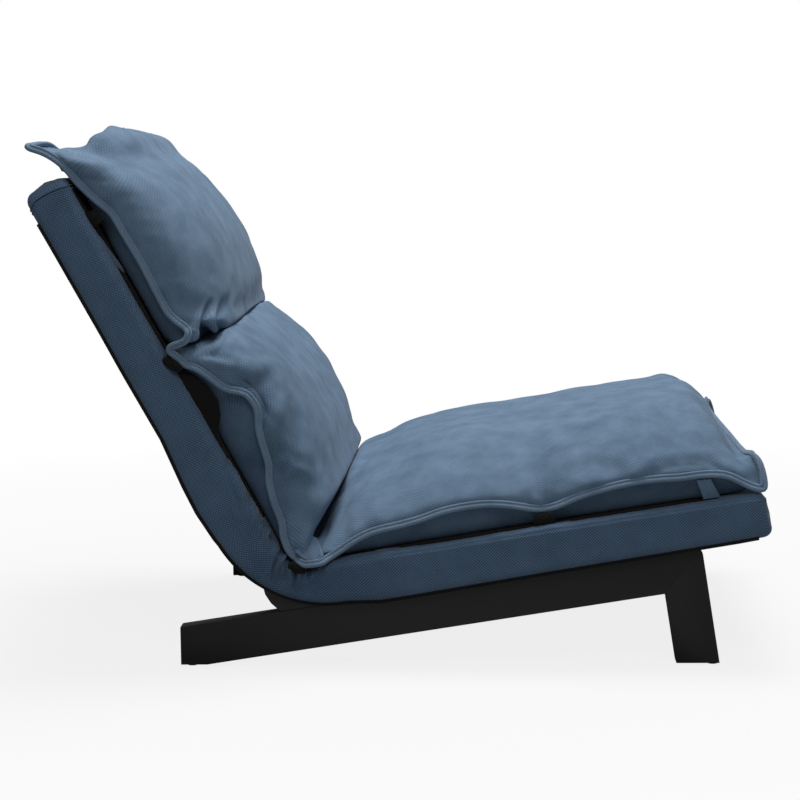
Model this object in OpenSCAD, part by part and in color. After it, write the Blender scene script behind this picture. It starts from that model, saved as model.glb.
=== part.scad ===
// Low lounge chair: a bent upholstered platform on two sloping wooden side frames,
// with a loose three-lobe topper and a back that reclines on a pair of ratchet hinges.
// Front is +X, up is +Z, and the chair is symmetric about the plane Y = 0.

/* [Platform] */
// Width of the upholstered platform
platform_w = 750; // [640:10:860]
// Thickness of the platform, lining included
platform_t = 66; // [62:1:76]
// Seat length, from the corner below the bend to the front edge
seat_l = 731; // [690:1:790]
// Back length, from the same corner to the top edge
back_l = 686; // [640:1:740]
// Radius of the outside of the bend
bend_r = 173; // [165:1:180]
// Radius of the upholstered edges
edge_r = 15; // [12:1:18]

/* [Stance] */
// Slope of the seat and of the side rails in degrees
seat_slope = 8.7; // [7.5:0.1:10]
// Angle between seat and back in the upright position in degrees
open_angle = 110.2; // [108:0.1:112]
// Furthest recline of the back in degrees
recline_max = 60; // [50:10:60]
// Angle between two lock positions in degrees
recline_step = 10; // [10:1:10]

/* [Side frames] */
// Height of a side rail
rail_h = 60; // [54:1:66]
// Thickness of the rails and legs
rail_t = 30; // [26:1:34]
// Distance from a platform side in to the outer face of a rail
rail_inset = 18; // [12:1:24]
// Reach of the rails behind the corner below the bend
rail_tail = 124; // [110:1:140]
// Length of the flat cut on which a rail stands
rail_flat = 38; // [32:1:48]
// Distance from the corner to the front legs, along the rail
leg_at = 571; // [540:1:600]
// Width of a front leg
leg_w = 61; // [54:1:66]
// Radius of the top front corner of a side frame
corner_r = 12; // [8:1:16]
// Diameter of a foot glide
glide_d = 14; // [12:1:20]
// Thickness of a foot glide
glide_t = 3; // [2:0.5:5]

/* [Topper] */
// Height of the seat lobe's crown above the platform
seat_crown = 147; // [120:1:160]
// Height of the lumbar lobe's crown above the back
lumbar_crown = 156; // [130:1:165]
// Height of the head lobe's crown above the back
head_crown = 145; // [120:1:160]
// Height of the side seam above the platform
seam_h = 46; // [36:1:56]
// Depth by which the side seams are drawn in between the corners
side_draw = 13; // [6:1:20]
// Distance from the corner to the crease between lumbar and head lobe
head_at = 398; // [370:1:420]
// Reach of the head lobe past the top edge of the back
head_over = 50; // [30:1:60]
// Diameter of the piping
piping_d = 9; // [7:1:10]

/* [Frame and hinges] */
// Side of the square steel tube
tube_s = 25; // [22:1:28]
// Wall of the square steel tube
tube_wall = 1.5; // [1.2:0.1:2.5]
// Thickness of the hinge plates
plate_t = 4; // [3:0.5:5]
// Diameter of the pivot pins
pivot_d = 10; // [8:1:12]
// Tip radius of the ratchet sector
ratchet_r = 32; // [30:1:33]
// Depth of the ratchet notches
notch_d = 4.6; // [4:0.1:5]
// Number of wavy springs in the seat and in the back
spring_n = 5; // [3:1:5]

/* [Hidden] */

// Clearances, overruns and facet counts
fit = 0.3;
seat_gap = 0.1;
run_fit = 0.05;
over = 1;
edge_steps = 5;
arc_steps = 14;
round_fn = 48;

// Place of the corner where the lines of the seat's and the back's undersides meet
flat_u = (rail_flat - rail_tail - rail_h * sin(seat_slope)) / cos(seat_slope);
corner_z = glide_t + rail_h * cos(seat_slope) - flat_u * sin(seat_slope);
back_tilt = seat_slope + open_angle;
front_x = (seat_l - edge_r) * cos(seat_slope) - edge_r * sin(seat_slope) + edge_r;
rear_x = (back_l - edge_r) * cos(back_tilt) + edge_r * sin(back_tilt) - edge_r;
corner_x = -(front_x + rear_x) / 2;
half_w = platform_w / 2;

// Bend: tangent length and inner corner, both measured along seat or back
bend_u = bend_r * tan((180 - open_angle) / 2);
fold_u = platform_t / tan(open_angle / 2);

// Layers of the platform, from the underside up
dust_t = 1;
cloth_t = 2;
lining_t = 1;
dust_margin = 12;
lining_margin = 30;
hem_w = 36;
tube_n = dust_t + cloth_t;
tube_top = tube_n + tube_s;
wire_d = 3.6;
felt_t = 2;
felt_margin = 20;
foam_n = tube_top + wire_d + felt_t + fit;
cover_top = platform_t - lining_t;
rest_n = platform_t + fit;

// Side frames
rail_y = half_w - rail_inset - rail_t;
rail_mid = rail_y + rail_t / 2;
rail_rear_x = corner_x - rail_tail;
leg_end = leg_at + leg_w;
dowel_d = 10;
dowel_l = 38;
dowel_in = 12;
dowel_n_shares = [0.28, 0.72];
mitre_shares = [0.27, 0.62];
stretcher_t = 24;
stretcher_drop = 3;
rear_stretcher_u = 24;
nail_d = 3;
nail_l = 12;
rear_glide_in = 15;
front_glide_in = 9;

// Bolts that hold the seat frame down on the rails
bolt_d = 8;
bolt_head_d = 13;
bolt_head_h = 8;
bolt_sink = 24;
bolt_sink_d = 18;
nut_w = 15;
nut_h = 6.5;
bolt_tail = 4;
bolt_rear_u = 205;
bolt_front_in = 211;
bolt_us = [bolt_rear_u, seat_l - bolt_front_in];

// Seat and back frame
seat_tube_y = half_w - 45;
back_tube_inset = 5;
back_tube_y = seat_tube_y - back_tube_inset;
tube_u0 = bend_u + 5;
tube_end_in = 26;
spring_amp = 24;
spring_pitch = 60;
spring_steps = 8;
spring_end_in = 9;
spring_span_share = 0.32;
clip_w = 18;
clip_l = 14;
clip_t = 1.5;

// Hinge: knuckles, pawl and pins, places measured in the seat's frame
knuckle_r = 13;
pivot_gap = 2;
pivot_in = bend_r * (1 / sin(open_angle / 2) - 1) + dust_t + cloth_t + knuckle_r + pivot_gap;
pivot_u = pivot_in * cos(open_angle / 2);
pivot_n = pivot_in * sin(open_angle / 2);
pawl_knuckle_r = 8;
plate_knuckle_r = 8;
pawl_at = 10;
pawl_reach = 30;
mesh_r = ratchet_r - notch_d / 2;
pawl_u = pivot_u + mesh_r * cos(pawl_at) - pawl_reach * cos(pawl_at + 90);
pawl_n = pivot_n + mesh_r * sin(pawl_at) - pawl_reach * sin(pawl_at + 90);
pawl_w = 9;
pawl_neck = 35;
pawl_heel = 18;
pawl_pin_d = 8;
washer_t = 0.8;
washer_r = 8;
washer_gap = 1;
head_t = 3;
pin_head_r = 10;
rivet_t = 2.5;
rivet_r = 8;
pawl_head_r = 6;
pawl_head_t = 2;
tip_half = 1.6;
gap_half = 2.0;
base_half = 3.1;
mouth_half = 3.6;
land_end = 3;
notch_n = recline_max / recline_step;
coil_r = 6.8;
coil_bore_r = 4.7;
coil_w = 6;
leg_wire = 1.6;
spring_leg_l = 25;
plate_len = 78;
plate_margin = 4;
plate_y = seat_tube_y - plate_t;
arm_y = plate_y - washer_gap - plate_t;

// Topper lobes
lobe_n = 18;
crease_tilt = 48.9;
crease_in = 7.7;
crease_gap = 1.2;
crease_drop = 26;
free_drop = 30;
head_drop = 42;
lobe_belly = 60;
ear_thin = 4;
free_draw = 16;
head_draw = 4;
seat_over = 5;
seat_pow = 3.3;
head_pow = 2.2;
crease_pow = 5;
cross_pow = 2.7;
drop_pow = 4;
tie_dip = 12;
tie_spread_share = 0.09;
piping_gap = 0.9;
piping_sides = 6;
piping_side_steps = 10;
piping_end_steps = 8;
piping_start_share = 0.93;

// Ties and straps under the seam
tie_w = 38;
tie_t = 2;
strap_w = 28;
seat_tie_in = 314;
strap_in = 81;
lumbar_tie_in = 26;
head_tie_in = 74;
seat_tie_u = seat_l - seat_tie_in;
head_tie_u = back_l - head_tie_in;

// Point of the chair's side view for a place along and above the seat
function seat_pt(u, n) = [corner_x + u * cos(seat_slope) - n * sin(seat_slope),
  corner_z + u * sin(seat_slope) + n * cos(seat_slope)];

// Height n on the line u where it meets the plane of the floor cut
function cut_n(u) = (glide_t - corner_z - u * sin(seat_slope)) / cos(seat_slope);

// Places children from the seat's frame, X along the seat and Z out of its top
module in_seat() {
  translate([corner_x, 0, corner_z]) rotate([0, -seat_slope, 0]) children();
}

// Places children from the back's frame, X up the back and Z out of its front
module in_back() {
  translate([corner_x, 0, corner_z]) rotate([0, -back_tilt, 0]) mirror([0, 0, 1]) children();
}

// Turns a side view, drawn as X and height, into a slab from y to y + t
module slab(y, t) {
  translate([0, y + t, 0]) rotate([90, 0, 0]) linear_extrude(t) children();
}

// Repeats children on both sides of the chair
module both_sides() {
  children();
  mirror([0, 1, 0]) children();
}

// Cylinder along Y from y to y + l, centred on a place in the side view
module cross_rod(u, n, y, l, r) {
  translate([u, y + l, n]) rotate([90, 0, 0]) cylinder(h = l, r = r, $fn = round_fn);
}

// Arc about c from angle a0 to a1, in n steps, and a quarter arc from angle a
function arc(c, r, a0, a1, n) =
  [for (i = [0:n]) let (a = a0 + (a1 - a0) * i / n) c + r * [cos(a), sin(a)]];
function quarter(c, r, a) = arc(c, r, a, a + 90, edge_steps);

// Outline rounded at its two far corners, flat at x0
function blunt(x0, x1, y0, y1, r) = concat([[x0, y0]], quarter([x1 - r, y0 + r], r, -90),
  quarter([x1 - r, y1 - r], r, 0), [[x0, y1]]);

// Block between two corners, open-ended square at its low X and rounded everywhere else
module soft_block(lo, hi, r) {
  intersection() {
    translate([0, hi.y, 0]) rotate([90, 0, 0]) linear_extrude(hi.y - lo.y)
      polygon(blunt(lo.x, hi.x, lo.z, hi.z, r));
    translate([0, 0, lo.z]) linear_extrude(hi.z - lo.z) polygon(blunt(lo.x, hi.x, lo.y, hi.y, r));
    translate([lo.x, 0, 0]) rotate([90, 0, 90]) linear_extrude(hi.x - lo.x)
      polygon(concat(quarter([lo.y + r, lo.z + r], r, 180), quarter([hi.y - r, lo.z + r], r, 270),
        quarter([hi.y - r, hi.z - r], r, 0), quarter([lo.y + r, hi.z - r], r, 90)));
  }
}

// Plain block between two corners
module block(lo, hi) {
  translate(lo) cube(hi - lo);
}

// Side frames: rail and leg share one outline and part at a mitre
module frame_outline() {
  top = seat_pt(leg_end - corner_r, -corner_r);
  polygon(concat(
    [[rail_rear_x, seat_pt((rail_rear_x - corner_x) / cos(seat_slope), 0).y],
     [rail_rear_x, glide_t], [rail_rear_x + rail_flat, glide_t],
     seat_pt(leg_at, -rail_h), seat_pt(leg_at, cut_n(leg_at)),
     seat_pt(leg_end, cut_n(leg_end))],
    quarter(top, corner_r, seat_slope)));
}

// Half plane behind the mitre, on the rail's side
module mitre_half() {
  reach = leg_end + rail_h;
  slope = [leg_end - leg_at, rail_h];
  a = [leg_at, -rail_h] - slope;
  b = [leg_end, 0] + slope;
  polygon([seat_pt(a.x, a.y), seat_pt(b.x, b.y), seat_pt(-reach, b.y), seat_pt(-reach, a.y)]);
}

// Dowels along the mitre, square to it, in one side frame
module mitre_dowels(extra) {
  run = [leg_end - leg_at, rail_h];
  lean = atan2(rail_h, leg_end - leg_at);
  in_seat() for (s = mitre_shares)
    translate([leg_at + run.x * s, rail_mid, -rail_h + run.y * s]) rotate([0, -lean - 90, 0])
      cylinder(h = dowel_l + 2 * extra, r = dowel_d / 2 + extra, center = true, $fn = round_fn);
}

// Dowels between the stretchers and one side frame
module side_dowels(extra) {
  length = dowel_l + 2 * extra;
  in_seat() for (u = [rear_stretcher_u, leg_at + leg_w / 2], s = dowel_n_shares)
    cross_rod(u, -rail_h * s, rail_y + dowel_in + extra - length, length, dowel_d / 2 + extra);
}

// Bores in a rail for its two frame bolts, sunk from below
module bolt_bores() {
  in_seat() for (u = bolt_us) translate([u, rail_mid, 0]) {
    translate([0, 0, -rail_h - over]) cylinder(h = rail_h + 2 * over, d = bolt_d + fit, $fn = round_fn);
    translate([0, 0, -rail_h - over]) cylinder(h = bolt_sink + over, d = bolt_sink_d, $fn = round_fn);
  }
}

// Nail holes for the glides
module nail_hole(x) {
  translate([x, rail_mid, 0]) cylinder(h = glide_t + nail_l + fit, d = nail_d + fit, $fn = round_fn);
}

rear_glide_x = rail_rear_x + rear_glide_in;
front_glide_x = seat_pt(leg_end, cut_n(leg_end)).x - front_glide_in;

module side_rail() {
  color([0.11, 0.11, 0.11]) difference() {
    slab(rail_y, rail_t) intersection() {
      frame_outline();
      mitre_half();
    }
    mitre_dowels(seat_gap);
    side_dowels(seat_gap);
    bolt_bores();
    nail_hole(rear_glide_x);
  }
}
module rail_left() { side_rail(); }
module rail_right() { mirror([0, 1, 0]) side_rail(); }

module side_leg() {
  color([0.11, 0.11, 0.11]) difference() {
    slab(rail_y, rail_t) difference() {
      frame_outline();
      mitre_half();
    }
    mitre_dowels(seat_gap);
    side_dowels(seat_gap);
    nail_hole(front_glide_x);
  }
}
module front_leg_left() { side_leg(); }
module front_leg_right() { mirror([0, 1, 0]) side_leg(); }

module corner_dowels() {
  color([0.75, 0.62, 0.42]) both_sides() mitre_dowels(0);
}

// Stretchers between the side frames, bored for their dowels
module stretcher(u) {
  color([0.11, 0.11, 0.11]) difference() {
    in_seat() block([u - stretcher_t / 2, -rail_y, -rail_h + stretcher_drop],
      [u + stretcher_t / 2, rail_y, -stretcher_drop]);
    both_sides() side_dowels(seat_gap);
  }
}
module rear_stretcher() { stretcher(rear_stretcher_u); }
module front_stretcher() { stretcher(leg_at + leg_w / 2); }

module stretcher_dowels() {
  color([0.75, 0.62, 0.42]) both_sides() side_dowels(0);
}

// Saddle blocks fill the wedge between a rail and the bend
block_top_u = 2;
block_shares = [[0.22, 0], [0.09, 0.3], [0.02, 0.6]];
function arc_n(u) = bend_r - sqrt(pow(bend_r, 2) - pow(bend_u - u, 2));
module saddle_block() {
  tail_u = bend_u * 0.74;
  rise = arc_n(block_top_u);
  steps = 10;
  color([0.13, 0.12, 0.11]) in_seat() slab(rail_y, rail_t) polygon(concat(
    [for (s = block_shares) [block_top_u + tail_u * s.x, rise * s.y]],
    [for (i = [0:steps]) let (u = block_top_u + (tail_u - block_top_u) * i / steps)
      [u, arc_n(u) - seat_gap]],
    [[tail_u, 0]]));
}
module saddle_block_left() { saddle_block(); }
module saddle_block_right() { mirror([0, 1, 0]) saddle_block(); }

// Foot glides: discs with a nail
module glide_pair(x) {
  color([0.08, 0.08, 0.08]) both_sides() translate([x, rail_mid, 0]) {
    cylinder(h = glide_t, d = glide_d, $fn = round_fn);
    cylinder(h = glide_t + nail_l, d = nail_d, $fn = round_fn);
  }
}
module rear_glides() { glide_pair(rear_glide_x); }
module front_glides() { glide_pair(front_glide_x); }

// Frame bolts and the nuts inside the tubes
module frame_bolts() {
  color([0.7, 0.7, 0.72]) both_sides() in_seat() for (u = bolt_us) translate([u, rail_mid, 0]) {
    translate([0, 0, -rail_h + bolt_sink - bolt_head_h])
      cylinder(h = bolt_head_h, d = bolt_head_d, $fn = round_fn);
    translate([0, 0, -rail_h + bolt_sink - bolt_head_h])
      cylinder(h = rail_h - bolt_sink + bolt_head_h + tube_n + tube_wall + nut_h + bolt_tail,
        d = bolt_d, $fn = round_fn);
  }
}
module frame_nuts() {
  color([0.7, 0.7, 0.72]) both_sides() in_seat() for (u = bolt_us)
    translate([u, rail_mid, tube_n + tube_wall]) difference() {
      cylinder(h = nut_h, d = nut_w, $fn = 6);
      translate([0, 0, -over]) cylinder(h = nut_h + 2 * over, d = bolt_d + seat_gap, $fn = round_fn);
    }
}

// Holes for the frame bolts in whatever they pass above the rail
module bolt_passes() {
  both_sides() for (u = bolt_us) translate([u, rail_mid, -over])
    cylinder(h = tube_n + tube_wall + 2 * over, d = bolt_d + fit, $fn = round_fn);
}

// Square tubes: one along X from u0 to u1, one across between y0 and -y0
module tube_along(u0, u1, y) {
  difference() {
    block([u0, y, tube_n], [u1, y + tube_s, tube_top]);
    block([u0 - over, y + tube_wall, tube_n + tube_wall],
      [u1 + over, y + tube_s - tube_wall, tube_top - tube_wall]);
  }
}
module tube_across(u, y) {
  difference() {
    block([u, -y, tube_n], [u + tube_s, y, tube_top]);
    block([u + tube_wall, -y - over, tube_n + tube_wall],
      [u + tube_s - tube_wall, y + over, tube_top - tube_wall]);
  }
}
module seat_side_tubes() {
  color([0.25, 0.25, 0.27]) in_seat() difference() {
    both_sides() tube_along(tube_u0, seat_l - tube_end_in, seat_tube_y);
    bolt_passes();
  }
}
module seat_cross_tubes() {
  color([0.25, 0.25, 0.27]) in_seat() {
    tube_across(tube_u0, plate_y);
    tube_across(seat_l - tube_end_in - tube_s, seat_tube_y);
  }
}
module back_side_tubes() {
  color([0.25, 0.25, 0.27]) in_back() both_sides()
    tube_along(tube_u0, back_l - tube_end_in, back_tube_y);
}
module back_cross_tubes() {
  color([0.25, 0.25, 0.27]) in_back() {
    tube_across(tube_u0, arm_y);
    tube_across(back_l - tube_end_in - tube_s, back_tube_y);
  }
}

// Wavy springs: one side of the wire is the wave moved out along its normal
function wave_pt(u, u0, side) =
  let (turn = 360 / spring_pitch, a = (u - u0) * turn,
    slope = spring_amp * turn * PI / 180 * cos(a), len = sqrt(1 + slope * slope))
  [u - side * wire_d / 2 * slope / len, spring_amp * sin(a) + side * wire_d / 2 / len];
function spring_places() = [for (i = [0:spring_n - 1])
  (2 * i / (spring_n - 1) - 1) * platform_w * spring_span_share];
module springs(length) {
  u0 = tube_u0 + spring_end_in;
  u1 = length - tube_end_in - spring_end_in;
  n = ceil((u1 - u0) / spring_pitch) * spring_steps;
  for (y = spring_places()) translate([0, y, tube_top]) linear_extrude(wire_d) polygon(concat(
    [for (i = [0:n]) wave_pt(u0 + (u1 - u0) * i / n, u0, 1)],
    [for (i = [n:-1:0]) wave_pt(u0 + (u1 - u0) * i / n, u0, -1)]));
}
module seat_springs() { color([0.6, 0.6, 0.62]) in_seat() springs(seat_l); }
module back_springs() { color([0.6, 0.6, 0.62]) in_back() springs(back_l); }

// Clips hook the wire ends down on the cross tubes
module clips(length) {
  top = tube_top + wire_d + clip_t;
  for (y = spring_places()) {
    block([tube_u0, y - clip_w / 2, top - clip_t], [tube_u0 + clip_l, y + clip_w / 2, top]);
    block([tube_u0, y - clip_w / 2, tube_top], [tube_u0 + clip_t, y + clip_w / 2, top]);
    block([length - tube_end_in - clip_l, y - clip_w / 2, top - clip_t],
      [length - tube_end_in, y + clip_w / 2, top]);
    block([length - tube_end_in - clip_t, y - clip_w / 2, tube_top],
      [length - tube_end_in, y + clip_w / 2, top]);
  }
}
module seat_spring_clips() { color([0.8, 0.8, 0.8]) in_seat() clips(seat_l); }
module back_spring_clips() { color([0.8, 0.8, 0.8]) in_back() clips(back_l); }

// Felt between springs and foam
module felt(length, y) {
  block([tube_u0 + felt_margin, -y + felt_margin, tube_top + wire_d],
    [length - tube_end_in - felt_margin, y - felt_margin, tube_top + wire_d + felt_t]);
}
module seat_felt() { color([0.5, 0.5, 0.48]) in_seat() felt(seat_l, arm_y); }
module back_felt() { color([0.5, 0.5, 0.48]) in_back() felt(back_l, arm_y); }

// Foam caps the frame on its top, sides and far end
module foam(length, y) {
  lo = [bend_u + fit, -half_w + cloth_t + fit, tube_n + fit];
  hi = [length - cloth_t - fit, half_w - cloth_t - fit, cover_top - cloth_t - fit];
  difference() {
    soft_block(lo, hi, edge_r - cloth_t);
    block([lo.x - over, -y - fit, lo.z - over], [length - tube_end_in + fit, y + fit, foam_n]);
  }
}
module seat_foam() {
  color([0.93, 0.88, 0.72]) in_seat() foam(seat_l, seat_tube_y + tube_s);
}
module back_foam() {
  color([0.93, 0.88, 0.72]) in_back() foam(back_l, back_tube_y + tube_s);
}

// Covers: cloth over the top and round three sides, hemmed below and open at the bend
module cover(length) {
  lo = [bend_u + seat_gap, -half_w, dust_t];
  hi = [length, half_w, cover_top];
  wall = [cloth_t, cloth_t, cloth_t];
  difference() {
    soft_block(lo, hi, edge_r);
    soft_block([lo.x - over, lo.y + cloth_t, lo.z + cloth_t], hi - wall, edge_r - cloth_t);
    block([lo.x - over, lo.y + hem_w, lo.z - over],
      [length - hem_w, hi.y - hem_w, lo.z + cloth_t + over]);
  }
}
module seat_cover() {
  color([0.3, 0.39, 0.5]) in_seat() difference() {
    cover(seat_l);
    bolt_passes();
  }
}
module back_cover() { color([0.3, 0.39, 0.5]) in_back() cover(back_l); }

// Dust covers close the undersides
module dust_panel(length) {
  block([bend_u + fit, -half_w + dust_margin + edge_r, 0],
    [length - dust_margin - edge_r, half_w - dust_margin - edge_r, dust_t]);
}
module seat_dust_cover() {
  color([0.05, 0.05, 0.05]) in_seat() difference() {
    dust_panel(seat_l);
    bolt_passes();
  }
}
module back_dust_cover() { color([0.05, 0.05, 0.05]) in_back() dust_panel(back_l); }

// Linings: plain black cloth on top, hidden below the topper
module lining_panel(length) {
  block([bend_u + fit, -half_w + lining_margin, cover_top],
    [length - lining_margin, half_w - lining_margin, platform_t]);
}
module seat_lining() { color([0.07, 0.07, 0.08]) in_seat() lining_panel(seat_l); }
module back_lining() { color([0.07, 0.07, 0.08]) in_back() lining_panel(back_l); }

// Bend: the cloth sleeve and the foam roll between seat and back
fold_in = 7;
fold_steps = 12;
function corner_polar(r, a) = seat_pt(bend_u + r * cos(a), bend_r + r * sin(a));
function bend_outline(skin) = let (mid = back_tilt - open_angle / 2,
    fold = [corner_x, corner_z] + (platform_t / sin(open_angle / 2) - fold_in - skin)
      * [cos(mid), sin(mid)],
    top = cover_top - skin)
  concat([for (i = [0:fold_steps])
      corner_polar(bend_r - dust_t - skin, -90 - (180 - open_angle) * i / fold_steps)],
    [back_pt(bend_u, top), back_pt(fold_u + fold_in, top), fold, seat_pt(fold_u + fold_in, top),
     seat_pt(bend_u, top)]);
function back_pt(u, n) = [corner_x + u * cos(back_tilt) + n * sin(back_tilt),
  corner_z + u * sin(back_tilt) - n * cos(back_tilt)];
module bend_cover() {
  color([0.3, 0.39, 0.5]) difference() {
    slab(-half_w, platform_w) polygon(bend_outline(0));
    slab(-half_w + cloth_t, platform_w - 2 * cloth_t) polygon(bend_hollow());
  }
}
// Hollow of the sleeve, run past both of its open ends
function bend_hollow() = let (o = bend_outline(cloth_t), n = len(o),
    out_s = over * [cos(seat_slope), sin(seat_slope)],
    out_b = over * [cos(back_tilt), sin(back_tilt)])
  concat([o[0] + out_s], [for (i = [0:fold_steps]) o[i]], [o[fold_steps] + out_b],
    [o[fold_steps + 1] + out_b], [for (i = [fold_steps + 1:n - 1]) o[i]], [o[n - 1] + out_s]);
bend_foam_in = 24;
module bend_foam() {
  color([0.93, 0.88, 0.72]) slab(-arm_y + bend_foam_in, 2 * (arm_y - bend_foam_in))
    polygon(bend_outline(cloth_t + fit));
}

// Outline of the end of a hinge plate or arm that lies against its tube
function plate_tongue(u1) = [[tube_u0, tube_n + plate_margin], [u1, tube_n + plate_margin],
  [u1, tube_top - plate_margin], [tube_u0, tube_top]];

// Hinge plates: welded to the seat tubes, carrying the pivot and the pawl
module hinge_plate() {
  u1 = tube_u0 + plate_len;
  lean = atan2(pawl_n - pivot_n, pawl_u - pivot_u) + 270;
  color([0.45, 0.45, 0.47]) in_seat() difference() {
    slab(plate_y, plate_t) polygon(concat(
      arc([pivot_u, pivot_n], knuckle_r, 90, lean, arc_steps),
      arc([pawl_u, pawl_n], plate_knuckle_r, lean, 270, edge_steps),
      plate_tongue(u1)));
    cross_rod(pivot_u, pivot_n, plate_y - over, plate_t + 2 * over, pivot_d / 2 + run_fit);
    cross_rod(pawl_u, pawl_n, plate_y - over, plate_t + 2 * over, pawl_pin_d / 2 + run_fit);
  }
}
module hinge_plate_left() { hinge_plate(); }
module hinge_plate_right() { mirror([0, 1, 0]) hinge_plate(); }

// Ratchet sector: one notch for each lock position, in polar points about the pivot
function polar(r, a) = [pivot_u + r * cos(a), pivot_n + r * sin(a)];
module ratchet_sector() {
  root = ratchet_r - notch_d;
  last = pawl_at - notch_n * recline_step;
  polygon(concat([[pivot_u, pivot_n], polar(ratchet_r, pawl_at + land_end + base_half)],
    [for (k = [0:notch_n]) let (a = pawl_at - k * recline_step)
      each [polar(ratchet_r, a + mouth_half), polar(root, a + gap_half),
        polar(root, a - gap_half), polar(ratchet_r, a - mouth_half)]],
    [polar(ratchet_r, last - land_end - base_half)]));
}

// Hinge arms: welded to the back tubes, with the ratchet sector about the pivot
module hinge_arm() {
  u1 = tube_u0 + plate_len;
  color([0.5, 0.5, 0.52]) difference() {
    union() {
      in_back() slab(arm_y, plate_t) polygon(concat(
        arc([pivot_u, pivot_n], knuckle_r, 90, 360 - open_angle, arc_steps),
        plate_tongue(u1)));
      in_seat() slab(arm_y, plate_t) ratchet_sector();
    }
    in_seat() cross_rod(pivot_u, pivot_n, arm_y - over, plate_t + 2 * over, pivot_d / 2 + run_fit);
  }
}
module hinge_arm_left() { hinge_arm(); }
module hinge_arm_right() { mirror([0, 1, 0]) hinge_arm(); }

// Pins: a head inside the arm, the shank through both plates, a riveted end outside
module pivot_pins() {
  color([0.75, 0.75, 0.77]) both_sides() in_seat() {
    cross_rod(pivot_u, pivot_n, arm_y - seat_gap - head_t, head_t, pin_head_r);
    cross_rod(pivot_u, pivot_n, arm_y - seat_gap - head_t,
      head_t + 2 * plate_t + washer_gap + 2 * seat_gap + rivet_t, pivot_d / 2);
    cross_rod(pivot_u, pivot_n, plate_y + plate_t + seat_gap, rivet_t, rivet_r);
  }
}
module pawl_pins() {
  inner = arm_y - 2 * fit - coil_w - pawl_head_t;
  color([0.75, 0.75, 0.77]) both_sides() in_seat() {
    cross_rod(pawl_u, pawl_n, inner, pawl_head_t, pawl_head_r);
    cross_rod(pawl_u, pawl_n, inner, plate_y + plate_t + seat_gap + rivet_t - inner, pawl_pin_d / 2);
    cross_rod(pawl_u, pawl_n, plate_y + plate_t + seat_gap, rivet_t, pawl_head_r);
  }
}

// Washers between the plates
module washer(u, n, bore_r) {
  y = plate_y - (washer_gap + washer_t) / 2;
  difference() {
    cross_rod(u, n, y, washer_t, washer_r);
    cross_rod(u, n, y - over, washer_t + 2 * over, bore_r);
  }
}
module hinge_washers() {
  color([0.8, 0.8, 0.8]) both_sides() in_seat() {
    washer(pivot_u, pivot_n, pivot_d / 2 + seat_gap);
    washer(pawl_u, pawl_n, pawl_pin_d / 2 + seat_gap);
  }
}

// Foot of the pawl's shank, and its right edge at the height where the spring bears on it
pawl_foot_n = pawl_n + pawl_pin_d / 4 + pawl_knuckle_r / 2;
pawl_hip = polar(ratchet_r + 2 * fit, pawl_at - base_half);
pawl_edge_u = pawl_u + pawl_w / 2 + (pawl_hip.x + pawl_w / 2 - pawl_u)
  * (pawl_n + spring_leg_l - pawl_foot_n) / (pawl_hip.y - pawl_foot_n);

// Pawls: a hook that drops into the notch at the upright position
module pawl() {
  tip_r = ratchet_r - notch_d + fit;
  base_r = ratchet_r + 2 * fit;
  lower = polar(base_r, pawl_at - base_half);
  upper = polar(base_r, pawl_at + base_half);
  crown = polar(base_r, pawl_at + 3 * base_half);
  color([0.35, 0.35, 0.4]) in_seat() difference() {
    slab(arm_y, plate_t) polygon(concat(
      arc([pawl_u, pawl_n], pawl_knuckle_r, 90 + pawl_neck, 450 - pawl_neck, 2 * arc_steps),
      [lower + [pawl_w, 0], crown + [pawl_w, 0], crown, upper,
       polar(tip_r, pawl_at + tip_half), polar(tip_r, pawl_at - tip_half), lower,
       polar(base_r, pawl_at - pawl_heel)]));
    cross_rod(pawl_u, pawl_n, arm_y - over, plate_t + 2 * over, pawl_pin_d / 2 + run_fit);
  }
}
module pawl_left() { pawl(); }
module pawl_right() { mirror([0, 1, 0]) pawl(); }

// Pawl springs: a coil round the pin, one leg on the pawl and one on the plate
module pawl_spring() {
  y1 = arm_y - fit;
  y0 = y1 - coil_w;
  leg_u = pawl_edge_u + seat_gap;
  low = pawl_n - coil_r;
  color([0.65, 0.65, 0.68]) in_seat() {
    difference() {
      cross_rod(pawl_u, pawl_n, y0, coil_w, coil_r);
      cross_rod(pawl_u, pawl_n, y0 - over, coil_w + 2 * over, coil_bore_r);
    }
    block([pawl_u, y0, low], [leg_u + spring_leg_l, y0 + leg_wire, low + leg_wire]);
    block([leg_u + spring_leg_l - leg_wire, y0, low],
      [leg_u + spring_leg_l, plate_y - seat_gap, low + leg_wire]);
    block([pawl_u + coil_bore_r, y1 - leg_wire, pawl_n],
      [leg_u + leg_wire, y1, pawl_n + leg_wire]);
    block([leg_u, y1 - leg_wire, pawl_n], [leg_u + leg_wire, y1, pawl_n + spring_leg_l]);
    block([leg_u, y1 - leg_wire, pawl_n + spring_leg_l - leg_wire],
      [leg_u + leg_wire, arm_y + plate_t / 2, pawl_n + spring_leg_l]);
  }
}
module pawl_spring_left() { pawl_spring(); }
module pawl_spring_right() { mirror([0, 1, 0]) pawl_spring(); }

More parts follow.
